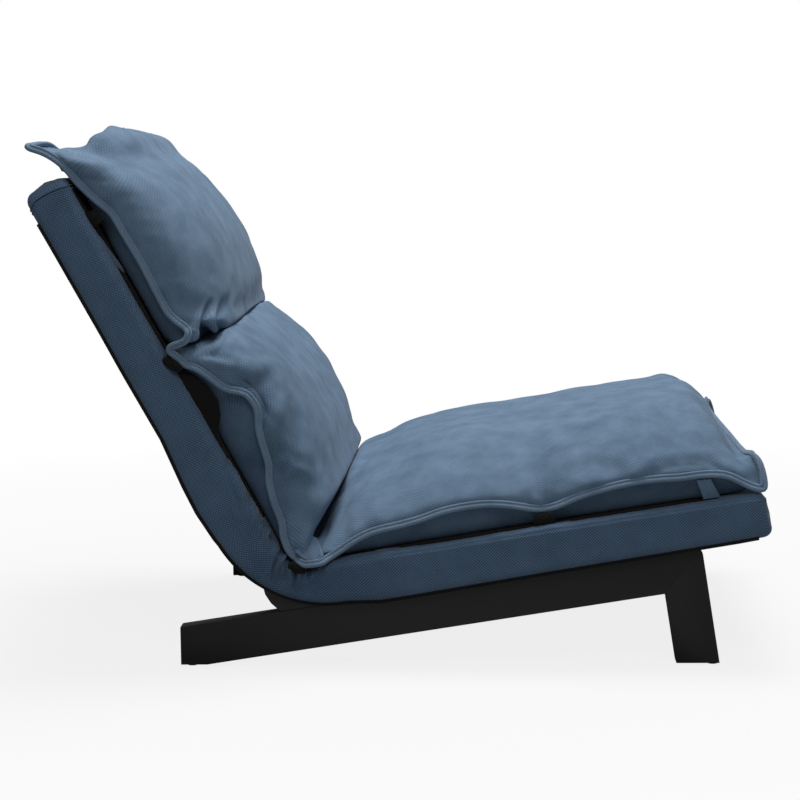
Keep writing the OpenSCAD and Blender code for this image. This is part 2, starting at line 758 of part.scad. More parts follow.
// Topper lobe: fields are start and end along the frame, half width, end draw, seam drops
// at the start and end corners, crown, powers of both ends, leans of both ends, tie place
function swell(a, p) = pow(max(0, 1 - pow(abs(a), p)), 1 / p);
function seam_n(L, a, b) = let (drop = a < 0 ? L[4] : L[5], tie = (lobe_u(L, a, b) - L[11]) /
    ((L[1] - L[0]) * tie_spread_share))
  platform_t + seam_h - drop * pow(abs(a * b), drop_pow) - tie_dip * exp(-tie * tie) * pow(b, drop_pow);
function lobe_u(L, a, b) = let (u1 = L[1] - L[3] * (1 - b * b)) L[0] + (u1 - L[0]) * (a + 1) / 2;
function lobe_v(L, a, b) = b * (L[2] - side_draw * (1 - a * a));
function lobe_pt(L, a, b, up) =
  let (seam = seam_n(L, a, b), full = swell(a, a < 0 ? L[7] : L[8]) * swell(b, cross_pow),
    n = up ? seam + (L[6] - seam_h) * full
      : seam - max(ear_thin * full, min(lobe_belly * full, seam - rest_n)),
    lean = (n - platform_t) * (L[9] * pow((1 - a) / 2, 2) + L[10] * pow((1 + a) / 2, 2)))
  [lobe_u(L, a, b) + lean, lobe_v(L, a, b), n];
function step_of(i) = sin(180 * i / lobe_n - 90);

module lobe(L) {
  n = lobe_n;
  w = n + 1;
  tops = [for (i = [0:n], j = [0:n]) lobe_pt(L, step_of(i), step_of(j), true)];
  lows = [for (i = [1:n - 1], j = [1:n - 1]) lobe_pt(L, step_of(i), step_of(j), false)];
  polyhedron(points = concat(tops, lows), faces = [for (i = [0:n - 1], j = [0:n - 1], up = [0, 1])
    let (q = [lobe_at(i, j, up), lobe_at(i, j + 1, up), lobe_at(i + 1, j + 1, up), lobe_at(i + 1, j, up)],
      even = (i < n / 2) == (j < n / 2),
      t = even ? [[q[0], q[1], q[2]], [q[0], q[2], q[3]]] : [[q[1], q[2], q[3]], [q[1], q[3], q[0]]])
    each [for (f = t) up == 1 ? f : [f[2], f[1], f[0]]]]);
}
function lobe_at(i, j, up) =
  up == 1 || i == 0 || j == 0 || i == lobe_n || j == lobe_n ? i * (lobe_n + 1) + j
  : (lobe_n + 1) * (lobe_n + 1) + (i - 1) * (lobe_n - 1) + j - 1;

// The crease between seat and lumbar lobe is one plane, seen from either frame
back_crease = open_angle - crease_tilt;
seat_u0 = fold_u + crease_in + crease_gap / 2 / sin(crease_tilt);
lumbar_u0 = fold_u - crease_in * sin(crease_tilt) / sin(back_crease)
  + crease_gap / 2 / sin(back_crease);
lobe_half = half_w - piping_d - piping_gap;
seat_lobe = [seat_u0, seat_l + seat_over - piping_d, lobe_half, free_draw, crease_drop, free_drop,
  seat_crown, crease_pow, seat_pow, cos(crease_tilt) / sin(crease_tilt), 0, seat_tie_u];
lumbar_lobe = [lumbar_u0, head_at - crease_gap / 2, lobe_half, 0, crease_drop, crease_drop,
  lumbar_crown, crease_pow, crease_pow, cos(back_crease) / sin(back_crease), 0, -back_l];
head_lobe = [head_at + crease_gap / 2, back_l + head_over - piping_d, lobe_half, head_draw,
  crease_drop, head_drop, head_crown, crease_pow, head_pow, 0, 0, head_tie_u];
module seat_cushion() { color([0.36, 0.46, 0.58]) in_seat() lobe(seat_lobe); }
module lumbar_cushion() { color([0.36, 0.46, 0.58]) in_back() lobe(lumbar_lobe); }
module head_cushion() { color([0.36, 0.46, 0.58]) in_back() lobe(head_lobe); }

// Piping: a thin tube swept just outside the side and end seams
function seam_edge(L, a, b) = let (p = lobe_pt(L, a, b, true), off = piping_d / 2 + piping_gap)
  p + [a == 1 ? off : 0, abs(b) == 1 ? sign(b) * off : 0, 0];
function side_run(L, b, a0, a1, n) = [for (i = [0:n]) seam_edge(L, a0 + (a1 - a0) * i / n, b)];
function end_run(L, n) = [for (i = [1:n - 1]) seam_edge(L, 1, -1 + 2 * i / n)];
function unit(v) = v / norm(v);
function turned(path) = [for (i = [len(path) - 1:-1:0]) path[i]];
module sweep(path) {
  m = piping_sides;
  n = len(path);
  rings = [for (k = [0:n - 1]) let (t = unit(path[min(k + 1, n - 1)] - path[max(k - 1, 0)]),
      side = unit(cross(t, [0, 0, 1])), up = cross(side, t))
    each [for (i = [0:m - 1]) path[k] + piping_d / 2 * (cos(360 * i / m) * side + sin(360 * i / m) * up)]];
  polyhedron(points = rings, faces = concat(
    [for (k = [0:n - 2], i = [0:m - 1]) let (j = (i + 1) % m, a = k * m)
      each [[a + i, a + m + j, a + j], [a + i, a + m + i, a + m + j]]],
    [for (i = [1:m - 2]) [0, i, i + 1]],
    [for (i = [1:m - 2]) (n - 1) * m * [1, 1, 1] + [0, i + 1, i]]));
}
module seat_piping() {
  start = -piping_start_share;
  side = side_run(seat_lobe, -1, start, 1, piping_side_steps);
  other = side_run(seat_lobe, 1, start, 1, piping_side_steps);
  color([0.4, 0.5, 0.62]) in_seat() sweep(concat(side, end_run(seat_lobe, piping_end_steps), turned(other)));
}
module back_piping() {
  start = -piping_start_share;
  half = piping_side_steps / 2;
  lumbar = [for (b = [-1, 1]) side_run(lumbar_lobe, b, start, piping_start_share, half)];
  head = [for (b = [-1, 1]) side_run(head_lobe, b, start, 1, half)];
  color([0.4, 0.5, 0.62]) in_back() sweep(concat(lumbar[0], head[0],
    end_run(head_lobe, piping_end_steps), turned(head[1]), turned(lumbar[1])));
}

// Ties and straps stand on the platform's edge, below the seam of the lobe beside them
function share_at(L, u) = 2 * (u - L[0]) / (L[1] - L[0]) - 1;
module tie(L, u, width, r = edge_r) {
  ends = [for (x = [u - width / 2, u + width / 2]) max(-1, min(1, share_at(L, x)))];
  y = max([for (a = ends) lobe_v(L, a, 1)]) + piping_gap;
  top = min([for (a = ends) seam_n(L, a, 1)]) - piping_d / 2 - piping_gap;
  foot = cover_top + fit - r + sqrt(pow(r, 2) - pow(max(0, y - half_w + r), 2));
  both_sides() block([u - width / 2, y, foot], [u + width / 2, y + tie_t, top]);
}
module seat_ties() {
  color([0.06, 0.06, 0.06]) in_seat() {
    tie(seat_lobe, seat_tie_u, tie_w);
    tie(seat_lobe, fold_u + fold_in + tie_w / 2 + fit, tie_w, 0);
  }
}
module corner_straps() {
  color([0.36, 0.46, 0.58]) in_seat() tie(seat_lobe, seat_l - strap_in, strap_w);
}
module back_ties() {
  color([0.06, 0.06, 0.06]) in_back() {
    tie(lumbar_lobe, head_at - lumbar_tie_in, tie_w);
    tie(head_lobe, head_tie_u, tie_w);
  }
}

rail_right();
rail_left();
front_leg_right();
front_leg_left();
corner_dowels();
rear_stretcher();
front_stretcher();
stretcher_dowels();
saddle_block_right();
saddle_block_left();
rear_glides();
front_glides();
frame_bolts();
frame_nuts();
seat_side_tubes();
seat_cross_tubes();
seat_springs();
seat_spring_clips();
seat_felt();
seat_foam();
seat_cover();
seat_dust_cover();
seat_lining();
hinge_plate_right();
hinge_plate_left();
pivot_pins();
pawl_pins();
hinge_washers();
pawl_right();
pawl_left();
pawl_spring_right();
pawl_spring_left();
bend_cover();
bend_foam();
seat_cushion();
seat_piping();
seat_ties();
corner_straps();
hinge_arm_right();
hinge_arm_left();
back_side_tubes();
back_cross_tubes();
back_springs();
back_spring_clips();
back_felt();
back_foam();
back_cover();
back_dust_cover();
back_lining();
lumbar_cushion();
head_cushion();
back_piping();
back_ties();
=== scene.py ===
import math
import bmesh
import bpy
import numpy as np
from mathutils import Matrix, Vector


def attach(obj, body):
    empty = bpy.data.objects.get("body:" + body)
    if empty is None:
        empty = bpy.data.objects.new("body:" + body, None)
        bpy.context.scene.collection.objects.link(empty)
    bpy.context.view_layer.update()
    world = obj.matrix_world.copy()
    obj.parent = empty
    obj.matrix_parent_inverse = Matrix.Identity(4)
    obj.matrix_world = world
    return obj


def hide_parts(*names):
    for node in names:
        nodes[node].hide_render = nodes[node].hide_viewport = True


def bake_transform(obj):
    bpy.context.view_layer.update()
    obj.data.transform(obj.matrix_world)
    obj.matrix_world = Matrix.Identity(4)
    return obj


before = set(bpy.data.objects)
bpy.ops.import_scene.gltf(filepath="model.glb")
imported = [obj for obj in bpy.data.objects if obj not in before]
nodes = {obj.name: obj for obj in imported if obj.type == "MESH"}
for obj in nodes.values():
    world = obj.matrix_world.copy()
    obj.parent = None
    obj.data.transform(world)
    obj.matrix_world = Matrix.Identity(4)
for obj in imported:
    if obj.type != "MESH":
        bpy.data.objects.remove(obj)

scene = bpy.context.scene
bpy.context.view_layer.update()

# Camera: a long lens about 3.6 m off the chair's right side, a little above the cushion,
# tilted 6.4 degrees down and turned 2.2 degrees, worked out from the feet and the rails.
yaw, pitch, roll = (math.radians(a) for a in (-2.223, 6.431, -0.683))
look = Vector((math.sin(yaw) * math.cos(pitch), math.cos(yaw) * math.cos(pitch), -math.sin(pitch)))
level = Vector((math.cos(yaw), -math.sin(yaw), 0))
upright = level.cross(look)
right = level * math.cos(roll) + upright * math.sin(roll)
over_head = upright * math.cos(roll) - level * math.sin(roll)
camera = bpy.data.objects.new("camera", bpy.data.cameras.new("camera"))
scene.collection.objects.link(camera)
camera.matrix_world = Matrix((
    (right.x, over_head.x, -look.x, 0.1245),
    (right.y, over_head.y, -look.y, -3.5667),
    (right.z, over_head.z, -look.z, 0.7475),
    (0, 0, 0, 1)))
camera.data.sensor_width = 36
camera.data.lens = 102.39
camera.data.clip_end = 60
scene.camera = camera
scene.view_settings.view_transform = "Standard"

# Room: a pale matt floor that keeps the chair's shadow and a white surround, lit by a large
# soft lamp above the chair, a weaker one on the near side and the even light of the room.


def lamp(name, spot, aim, size, power):
    data = bpy.data.lights.new(name, "AREA")
    data.shape = "DISK"
    data.size = size
    data.energy = power
    made = bpy.data.objects.new(name, data)
    scene.collection.objects.link(made)
    made.location = spot
    made.rotation_euler = (Vector(aim) - Vector(spot)).to_track_quat("-Z", "Y").to_euler()


lamp("key_lamp", (0.2, 0.5, 2.95), (0.0, 0.0, 0.3), 1.7, 63)
lamp("near_lamp", (0.1, -2.4, 2.7), (0.0, -0.35, 0.35), 1.3, 16)


def wire(tree, made, settings):
    """Sets up a shader node: its own settings by name, and its inputs by name or number, each
    with a value or with what feeds it, an output or a node whose first output does."""
    for key, value in settings.items():
        if isinstance(value, bpy.types.Node):
            value = value.outputs[0]
        if isinstance(value, bpy.types.NodeSocket):
            tree.links.new(value, made.inputs[key])
        elif isinstance(key, str) and hasattr(made, key):
            setattr(made, key, value)
        else:
            made.inputs[key].default_value = value
    return made


def node(tree, kind, settings):
    return wire(tree, tree.nodes.new("ShaderNode" + kind), settings)


world = bpy.data.worlds.new("surround")
scene.world = world
world.use_nodes = True
tree = world.node_tree
tree.nodes.clear()
plain = node(tree, "Background", {"Color": (1, 1, 1, 1), "Strength": 0.15})
white = node(tree, "Background", {"Color": (1, 1, 1, 1), "Strength": 1})
seen = node(tree, "LightPath", {}).outputs["Is Camera Ray"]
surround = node(tree, "MixShader", {"Fac": seen, 1: plain, 2: white})
node(tree, "OutputWorld", {"Surface": surround})

floor_mesh = bpy.data.meshes.new("floor")
floor_mesh.from_pydata([(-20, -20, 0), (20, -20, 0), (20, 30, 0), (-20, 30, 0)], [], [(0, 1, 2, 3)])
floor = bpy.data.objects.new("floor", floor_mesh)
scene.collection.objects.link(floor)
floor_paint = bpy.data.materials.new("floor_paint")
floor_paint.use_nodes = True
tree = floor_paint.node_tree
tree.nodes.clear()
bounce = node(tree, "BsdfDiffuse", {"Color": (0.36, 0.36, 0.36, 1)})
matt = node(tree, "BsdfDiffuse", {"Color": (0.8, 0.8, 0.8, 1)})
glow = node(tree, "Emission", {"Color": (1, 1, 1, 1)})
spot = node(tree, "TexCoord", {}).outputs["Object"]
distance = node(tree, "VectorMath", {"operation": "LENGTH", 0: spot}).outputs["Value"]
fade = node(tree, "MapRange", {"Value": distance, "From Min": 0.6, "From Max": 2.2,
                               "To Min": 0.84, "To Max": 1.0})
lit = node(tree, "MixShader", {"Fac": fade, 1: matt, 2: glow})
seen = node(tree, "LightPath", {}).outputs["Is Camera Ray"]
paint = node(tree, "MixShader", {"Fac": seen, 1: bounce, 2: lit})
node(tree, "OutputMaterial", {"Surface": paint})
floor_mesh.materials.append(floor_paint)

# Platform cover: one steel-blue cotton twill case drawn over the foam of seat and back,
# running round the bend in one piece; it puckers at the inner corner, bags a little
# outside the rails and is closed by a seam and a cap at each end.
slope, tilt = math.radians(8.7), math.radians(118.9)
corner = (-0.197171, 0.076858)
bend_u, bend_r, fold_u = 120.68, 173.0, 46.05
bend_turn = math.radians(69.8)
seat_l, back_l = 731.0, 686.0
half_w = 375.0
off_seat = np.array([-math.sin(slope), 0, math.cos(slope)])
up_back = np.array([math.cos(tilt), 0, math.sin(tilt)])
off_back = np.array([math.sin(tilt), 0, -math.cos(tilt)])


def seat(u, v, n):
    """Places along, across and above the seat, in mm, as points in metres."""
    u, v, n = np.broadcast_arrays(*(np.asarray(x, float) for x in (u, v, n)))
    return np.stack([corner[0] + (u * math.cos(slope) - n * math.sin(slope)) / 1000, v / 1000,
                     corner[1] + (u * math.sin(slope) + n * math.cos(slope)) / 1000], -1)


def back(u, v, n):
    """Places up, across and in front of the back, in mm, as points in metres."""
    u, v, n = np.broadcast_arrays(*(np.asarray(x, float) for x in (u, v, n)))
    return np.stack([corner[0] + (u * math.cos(tilt) + n * math.sin(tilt)) / 1000, v / 1000,
                     corner[1] + (u * math.sin(tilt) - n * math.cos(tilt)) / 1000], -1)


def step(x, lo, hi):
    t = np.clip((np.asarray(x, float) - lo) / (hi - lo), 0, 1)
    return t * t * (3 - 2 * t)


def bell(x, wide):
    return np.exp(-(x / wide) ** 2)


def ripple(p, size, seed, count=28):
    """Smooth seeded unevenness with waves of about the given size, mostly within -1 to 1."""
    r = np.random.default_rng(seed)
    k = r.normal(size=(count, p.shape[-1]))
    k *= (2 * math.pi / size * r.uniform(0.6, 1.5, (count, 1))) / np.linalg.norm(k, axis=1)[:, None]
    return np.cos(p @ k.T + r.uniform(0, 2 * math.pi, count)).sum(-1) / math.sqrt(count)


def unit(v):
    return v / np.maximum(np.linalg.norm(v, axis=-1), 1e-12)[..., None]


def normals(p):
    """Unit normals of a grid of points."""
    return unit(np.cross(np.gradient(p, axis=0), np.gradient(p, axis=1)))


def lengths(p, axis):
    """Distance travelled along one axis of a grid of points."""
    d = np.linalg.norm(np.diff(p, axis=axis), axis=-1)
    pad = [(0, 0), (0, 0)]
    pad[axis] = (1, 0)
    return np.pad(np.cumsum(d, axis=axis), pad)


def flat_uv(p):
    """The grid's own lengths along and across as uv, in metres, so the weave keeps its size."""
    return np.stack([lengths(p, 0), lengths(p, 1)], -1)


def sheet(face, rear):
    """Grids of a thin cloth from its two faces, closed round its four edges."""
    parts = [(face, flat_uv(face)), (rear, flat_uv(rear))]
    for a, b in ((face[0], rear[0]), (face[-1], rear[-1]), (face[:, 0], rear[:, 0]),
                 (face[:, -1], rear[:, -1])):
        edge = np.stack([a, b], 1)
        parts.append((edge, np.zeros(edge.shape[:2] + (2,))))
    return parts


def build(name, grids, hold=None, paint=None):
    """One mesh from grids of (points, uv in metres), welded where they meet and facing out.
    The values in hold, one grid each, stay on the vertices; paint numbers the materials."""
    weld = 0.00002
    mesh = bpy.data.meshes.new(name)
    verts, faces, uvs, start = [], [], [], 0
    for p, uv in grids:
        rows, cols = p.shape[:2]
        i = np.arange(rows * cols).reshape(rows, cols)
        f = np.stack([i[:-1, :-1], i[1:, :-1], i[1:, 1:], i[:-1, 1:]], -1).reshape(-1, 4)
        verts.append(p.reshape(-1, 3))
        faces.append(f + start)
        uvs.append(uv.reshape(-1, 2)[f.ravel()])
        start += rows * cols
    mesh.from_pydata(np.concatenate(verts).tolist(), [], np.concatenate(faces).tolist())
    if paint is not None:
        mesh.polygons.foreach_set("material_index", np.repeat(paint, [len(f) for f in faces]))
    mesh.uv_layers.new(name="UVMap").data.foreach_set("uv", np.concatenate(uvs).ravel())
    if hold is not None:
        values = np.concatenate([h.ravel() for h in hold])
        mesh.attributes.new("hold", "FLOAT", "POINT").data.foreach_set("value", values)
    bm = bmesh.new()
    bm.from_mesh(mesh)
    bmesh.ops.remove_doubles(bm, verts=bm.verts, dist=weld)
    bmesh.ops.dissolve_degenerate(bm, edges=bm.edges, dist=weld / 2)
    bmesh.ops.recalc_face_normals(bm, faces=bm.faces)
    if bm.calc_volume(signed=True) < 0:
        bmesh.ops.reverse_faces(bm, faces=bm.faces)
    bm.to_mesh(mesh)
    bm.free()
    mesh.polygons.foreach_set("use_smooth", [True] * len(mesh.polygons))
    made = bpy.data.objects.new(name, mesh)
    scene.collection.objects.link(made)
    return made


def maths(tree, operation, *values):
    return node(tree, "Math", {"operation": operation, **dict(enumerate(values))})


def cloth_material(name, low, high, pitch, lean, depth=0.00035, mottle=0.5, sheen=0.25, weave=0.17):
    """Twill: ribs of the given pitch across a leaning direction of the cloth's own uv, cut into
    stitches of yarn, over two sizes of soft mottling, a fine nap and painted shade."""
    made = bpy.data.materials.new(name)
    made.use_nodes = True
    tree = made.node_tree
    place = node(tree, "TexCoord", {})
    stray = node(tree, "TexNoise", {"Vector": place.outputs["UV"], "Scale": 14.0, "Detail": 2.0,
                                    "Roughness": 0.5})
    bent = node(tree, "VectorMath", {"operation": "MULTIPLY_ADD", 0: stray.outputs["Color"],
                                     1: (0.004, 0.004, 0.0), 2: place.outputs["UV"]})
    waves = []
    for size, angle, much in ((pitch, lean, 1.0), (pitch * 1.08, lean + 1.45, 0.55)):
        k = 2 * math.pi / size
        dot = node(tree, "VectorMath", {"operation": "DOT_PRODUCT", 0: bent,
                                        1: (k * math.cos(angle), k * math.sin(angle), 0)})
        waves.append(maths(tree, "MULTIPLY", maths(tree, "SINE", dot.outputs["Value"]), much))
    yarn = maths(tree, "ADD", *waves)
    soft, broad, nap_and_painted_shade = (
        node(tree, "TexNoise", {"Vector": place.outputs["Object"], "Scale": size, "Detail": detail,
                                "Roughness": rough})
        for size, detail, rough in ((26.0, 4.0, 0.6), (6.0, 2.0, 0.5), (700.0, 2.0, 0.6)))
    tone = maths(tree, "MULTIPLY_ADD", soft, mottle, 0.5 - mottle / 2 - 0.12)
    shade = maths(tree, "MULTIPLY_ADD", yarn, weave, tone)
    fuzz = maths(tree, "MULTIPLY_ADD", nap_and_painted_shade, 0.24, shade)
    # Painted shade: a point attribute on the meshes darkens the colour where they lie in shade.
    shade_layer = node(tree, "Attribute", {"attribute_name": "nap_and_painted_shade"}).outputs["Fac"]
    painted_shade = maths(tree, "MULTIPLY_ADD", shade_layer, -0.3, fuzz)
    paint = node(tree, "Mix", {"data_type": "RGBA", 0: painted_shade, 6: (*low, 1), 7: (*high, 1)})
    crumple = node(tree, "Bump", {"Height": broad, "Strength": 0.5, "Distance": 0.004})
    relief = node(tree, "Bump", {"Height": yarn, "Normal": crumple, "Strength": 0.7, "Distance": depth})
    wire(tree, tree.nodes["Principled BSDF"], {
        "Base Color": paint.outputs[2], "Normal": relief, "Roughness": 0.88, "Specular IOR Level": 0.25,
        "Sheen Weight": sheen, "Sheen Roughness": 0.45})
    return made


def paint_shade_spots(made, spots):
    """Paints shade into a cloth, as a point attribute, round spots on its two sides: each a
    place, a reach in metres and how much (less than nothing paints light instead)."""
    co = np.empty(len(made.data.vertices) * 3)
    made.data.vertices.foreach_get("co", co)
    co = co.reshape(-1, 3)
    nap_and_painted_shade = np.zeros(len(co))
    for spot, reach, much in spots:
        away = np.linalg.norm((co - spot)[:, [0, 2]], axis=1)
        nap_and_painted_shade += much * bell(away, reach) * step(np.abs(co[:, 1]), 0.05, 0.33)
    made.data.attributes.new("nap_and_painted_shade", "FLOAT", "POINT").data.foreach_set("value", nap_and_painted_shade)


rib = 0.0031
platform_twill = cloth_material("platform_twill", (0.040, 0.078, 0.138), (0.142, 0.236, 0.365), rib,
                                0.9, depth=0.00022, weave=0.34)
topper_suede = cloth_material("topper_suede", (0.062, 0.120, 0.190), (0.235, 0.350, 0.505), rib,
                              0.8, depth=0.00012, mottle=0.9, sheen=0.10, weave=0.15)
# Painted shade: a darker copy of the topper's suede for the cushions' lower panels and the corner loops,
# which lie in shade.
shade_painted_suede = cloth_material("shade_painted_suede", (0.048, 0.096, 0.158), (0.180, 0.280, 0.415), rib,
                             0.8, depth=0.00012, mottle=0.8, sheen=0.12, weave=0.15)
# Painted highlight: a lighter copy of the topper's suede for the piping cord.
lit_cord_suede = cloth_material("lit_cord_suede", (0.085, 0.155, 0.235), (0.290, 0.415, 0.580), 0.0026,
                            0.8, mottle=0.7, weave=0.10)
black_cloth = cloth_material("black_cloth", (0.004, 0.004, 0.004), (0.016, 0.015, 0.014), 0.0018,
                             0.2, mottle=0.4, sheen=0.05)


def loop(w, low, high, r):
    """Outline of the platform's section: across and up, from the middle below, sunwise."""
    a = np.linspace(0, math.pi / 2, 14)
    flat = np.linspace(0, 1, 15)[:-1]
    tall = np.linspace(0, 1, 19)[1:-1]
    wide = np.linspace(0, 1, 47)[1:-1]
    y = np.concatenate([-(w - r) * flat, -(w - r) - r * np.sin(a), -w + 0 * tall,
                        -(w - r) - r * np.cos(a), -(w - r) + 2 * (w - r) * wide,
                        (w - r) + r * np.sin(a), w + 0 * tall, (w - r) + r * np.cos(a),
                        (w - r) * (1 - flat), [0]])
    n = np.concatenate([low + 0 * flat, low + r - r * np.cos(a), low + r + (high - low - 2 * r) * tall,
                        high - r + r * np.sin(a), high + 0 * wide, high - r + r * np.cos(a),
                        high - r - (high - low - 2 * r) * tall, low + r - r * np.sin(a),
                        low + 0 * flat, [low]])
    return y, n


def platform_shell(grow, low, high, r):
    """Grid of the platform's skin from the seat's front round the bend to the back's top."""
    t = np.sin(np.linspace(0, math.pi / 2, 20))
    turn_in = r - r * np.sqrt(np.maximum(0, 1 - t * t))
    cap = np.linspace(r, (high - low) / 2 - 0.2, 5)[1:]
    long = np.r_[np.linspace(seat_l - r, 210, 90)[1:], np.linspace(210, bend_u, 36)[1:]]
    tall = np.r_[np.linspace(bend_u, 220, 36), np.linspace(220, 656, 72)[1:],
                 np.arange(656.8, back_l - r, 0.8)]
    along = [("seat", seat_l + grow + 3.5 * (c - r) / 17, c) for c in cap[::-1]]
    along += [("seat", seat_l + grow - r + r * s, c) for s, c in zip(t[::-1], turn_in[::-1])]
    along += [("seat", u, 0) for u in long]
    along += [("bend", f, 0) for f in np.linspace(0, 1, 121)[1:-1]]
    along += [("back", u, 0) for u in tall]
    along += [("back", back_l + grow - r + r * s, c) for s, c in zip(t, turn_in)]
    along += [("back", back_l + grow + 4.5 * (c - r) / 17, c) for c in cap]
    arc_mid = seat(bend_u, 0, bend_r)
    rows = []
    for kind, u, inset in along:
        y, n = loop(half_w + grow - inset, low + inset, high - inset,
                    max((r - inset) * (1 - 0.5 * inset / r), 0.05))
        if kind == "seat":
            lean = 3.5 * step(u, seat_l - 70, seat_l) * np.clip((33 - n) / 33, 0, 1)
            p = seat(u + lean, y, n - seat_sag(u) * outside(y) * step(26 - n, 0, 24))
        elif kind == "back":
            p = back(u, y, n - back_sag(u) * step(26 - n, 0, 24))
        else:
            turn = -math.pi / 2 - bend_turn * u
            skin = (bend_r - low) / 1000
            outer = arc_mid + skin * np.array([math.cos(turn + slope), 0, math.sin(turn + slope)])
            k = abs(2 * u - 1)
            inner_u = fold_u + 9 + (bend_u - fold_u - 9) * k
            inner = seat(inner_u, 0, high) if u < 0.5 else back(inner_u, 0, high)
            mid = 0.5 * (seat(fold_u + 6, 0, high) + back(fold_u + 6, 0, high))
            inner = inner + (mid - inner) * bell(k, 0.12)
            sag = np.interp(u, [0, 0.35, 0.7, 1], [0.5, 3.0, 5.5, 7.5])
            sag = sag * np.maximum(outside(y), step(u, 0.6, 1))
            h = ((n - sag * step(26 - n, 0, 24) - low) / (high - low))[:, None]
            p = outer + (inner - outer) * h
            p[:, 1] = y / 1000
        rows.append(p)
    return np.stack(rows), along


def seat_sag(u):
    return np.interp(u, [120, 167, 194, 268, 412, 554, 682, 731], [0.5, 7.0, 7.2, 6.2, 4, 2.7, 1.5, 0])


def back_sag(u):
    return np.interp(u, [120, 131, 176, 219, 293, 400, 464, 600, 658, 686],
                     [7.5, 9.4, 12.4, 10.2, 3.0, 3.2, 2.2, 1.4, 1.4, 0])


def outside(y):
    return step(np.abs(y), 357.5, 362)


def strokes(p, lines):
    """Height of sharp folds on the sides along lines seen from the side: each a side (-1
    or 1), points, widths at its two ends, height, and how full it starts (0 to 0.5)."""
    flat = p[..., [0, 2]]
    h = np.zeros(p.shape[:-1])
    for side, pts, width, high, full in lines:
        pts = np.asarray(pts, float)[:, [0, 2]]
        best = np.full(p.shape[:-1], 1e9)
        share = np.zeros(p.shape[:-1])
        total = len(pts) - 1
        for i, (a, b) in enumerate(zip(pts[:-1], pts[1:])):
            ab = b - a
            t = np.clip(((flat - a) @ ab) / (ab @ ab), 0, 1)
            d = np.linalg.norm(flat - a - t[..., None] * ab, axis=-1)
            near = d < best
            best = np.where(near, d, best)
            share = np.where(near, (i + t) / total, share)
        fade = np.sin(math.pi * np.clip(full + (1 - full) * share, 0, 1)) ** 0.7
        x = best / (width[0] + (width[1] - width[0]) * share)
        h += (high * fade * step(side * p[..., 1], 0.22, 0.32)
              * (bell(x, 1) - 0.4 * bell(x - 1.9, 0.8)))
    return h


def both_sides(place, rows):
    """Folds on both sides of a piece, from (u, n) points."""
    made = []
    for pts, width, high, full in rows:
        u, n = np.asarray(pts, float).T
        made += [(side, place(u, 0, n), width, high, full) for side in (-1, 1)]
    return made


shell, along = platform_shell(0.5, 0.6, 65.4, 15)
out = normals(shell)
out *= np.sign((out * (shell - shell.mean(1, keepdims=True))).sum(-1))[..., None]
on_side = step(np.abs(shell[..., 1]), 0.352, 0.372)
height = on_side * (0.0010 * ripple(shell, 0.11, 11) + 0.0005 * ripple(shell, 0.03, 12))
height += (1 - on_side) * 0.0005 * ripple(shell, 0.15, 13)
from_below = np.minimum(np.arange(shell.shape[1]), np.arange(shell.shape[1])[::-1])
height *= step(from_below, 20, 36)[None]
height = np.maximum(height, -0.0008)
folds = both_sides(seat, [
    ([(46, 84), (31, 68), (19, 40)], (0.0030, 0.0022), 0.0050, 0.3),
    ([(36, 86), (25, 66), (19, 44)], (0.0030, 0.0022), -0.0040, 0.3),
    ([(43, 66), (40, 56), (36, 44)], (0.0028, 0.0020), -0.0055, 0.4),
    ([(54, 57), (52, 45), (47, 29)], (0.0030, 0.0022), -0.0050, 0.4),
    ([(60, 52), (56, 38), (51, 24)], (0.0032, 0.0025), 0.0035, 0.3),
    ([(74, 58), (72, 48), (69, 38)], (0.0028, 0.0022), -0.0045, 0.4),
    ([(92, 48), (80, 38), (66, 28)], (0.0045, 0.0035), -0.0030, 0.2)])
folds += both_sides(back, [
    ([(206, 66), (184, 61), (161, 57), (135, 45)], (0.0050, 0.0040), 0.0050, 0.2),
    ([(150, 64), (128, 55), (112, 40)], (0.0050, 0.0040), 0.0040, 0.2),
    ([(118, 66), (106, 60), (97, 50)], (0.0032, 0.0025), -0.0040, 0.4),
    ([(95, 65), (86, 61), (76, 54)], (0.0035, 0.0025), -0.0050, 0.4)])
height += step(np.abs(shell[..., 1]), 0.345, 0.366) * strokes(shell, folds)
dent = seat(78, 0, 64)[[0, 2]]
away = np.linalg.norm(shell[..., [0, 2]] - dent, axis=-1)
height -= 0.009 * bell(away, 0.020) * step(np.abs(shell[..., 1]), 0.325, 0.362)
on_seat = step(shell[..., 0], -0.05, 0.0)
low_on_seat = (shell - seat(0, 0, 58.2)) @ off_seat
height += on_seat * on_side * (0.0010 * bell(low_on_seat - 0.0026, 0.0018)
                               + 0.0010 * bell(low_on_seat + 0.0026, 0.0018)
                               - 0.0008 * bell(low_on_seat, 0.0012))
shell_u, shell_n = (shell - back(0, 0, 0)) @ up_back, (shell - back(0, 0, 0)) @ off_back
cap_line = np.interp(shell_n, np.array([0, 3.7, 11.7, 26, 42, 54, 60, 66]) / 1000,
                     np.array([662, 666.4, 671.5, 673.2, 672.2, 670.3, 668.7, 667]) / 1000)
past = (shell_u - cap_line) * 1000
height += (1.3 * bell(past - 2.4, 1.6) + 1.3 * bell(past + 2.4, 1.6) - 0.8 * bell(past, 1.0)) / 1000
height -= (0.0010 * on_side * bell(shell_n - 0.0050, 0.0011)
           * step(shell_u, 0.45, 0.60) * step(-shell_u, -0.672, -0.660))
shell = shell + out * height[..., None]
side_middle = 126
uv = flat_uv(shell)
uv[..., 0] = uv[:, [side_middle], 0]
cover = build("platform_cover", [(shell, uv)])
cover.data.materials.append(platform_twill)
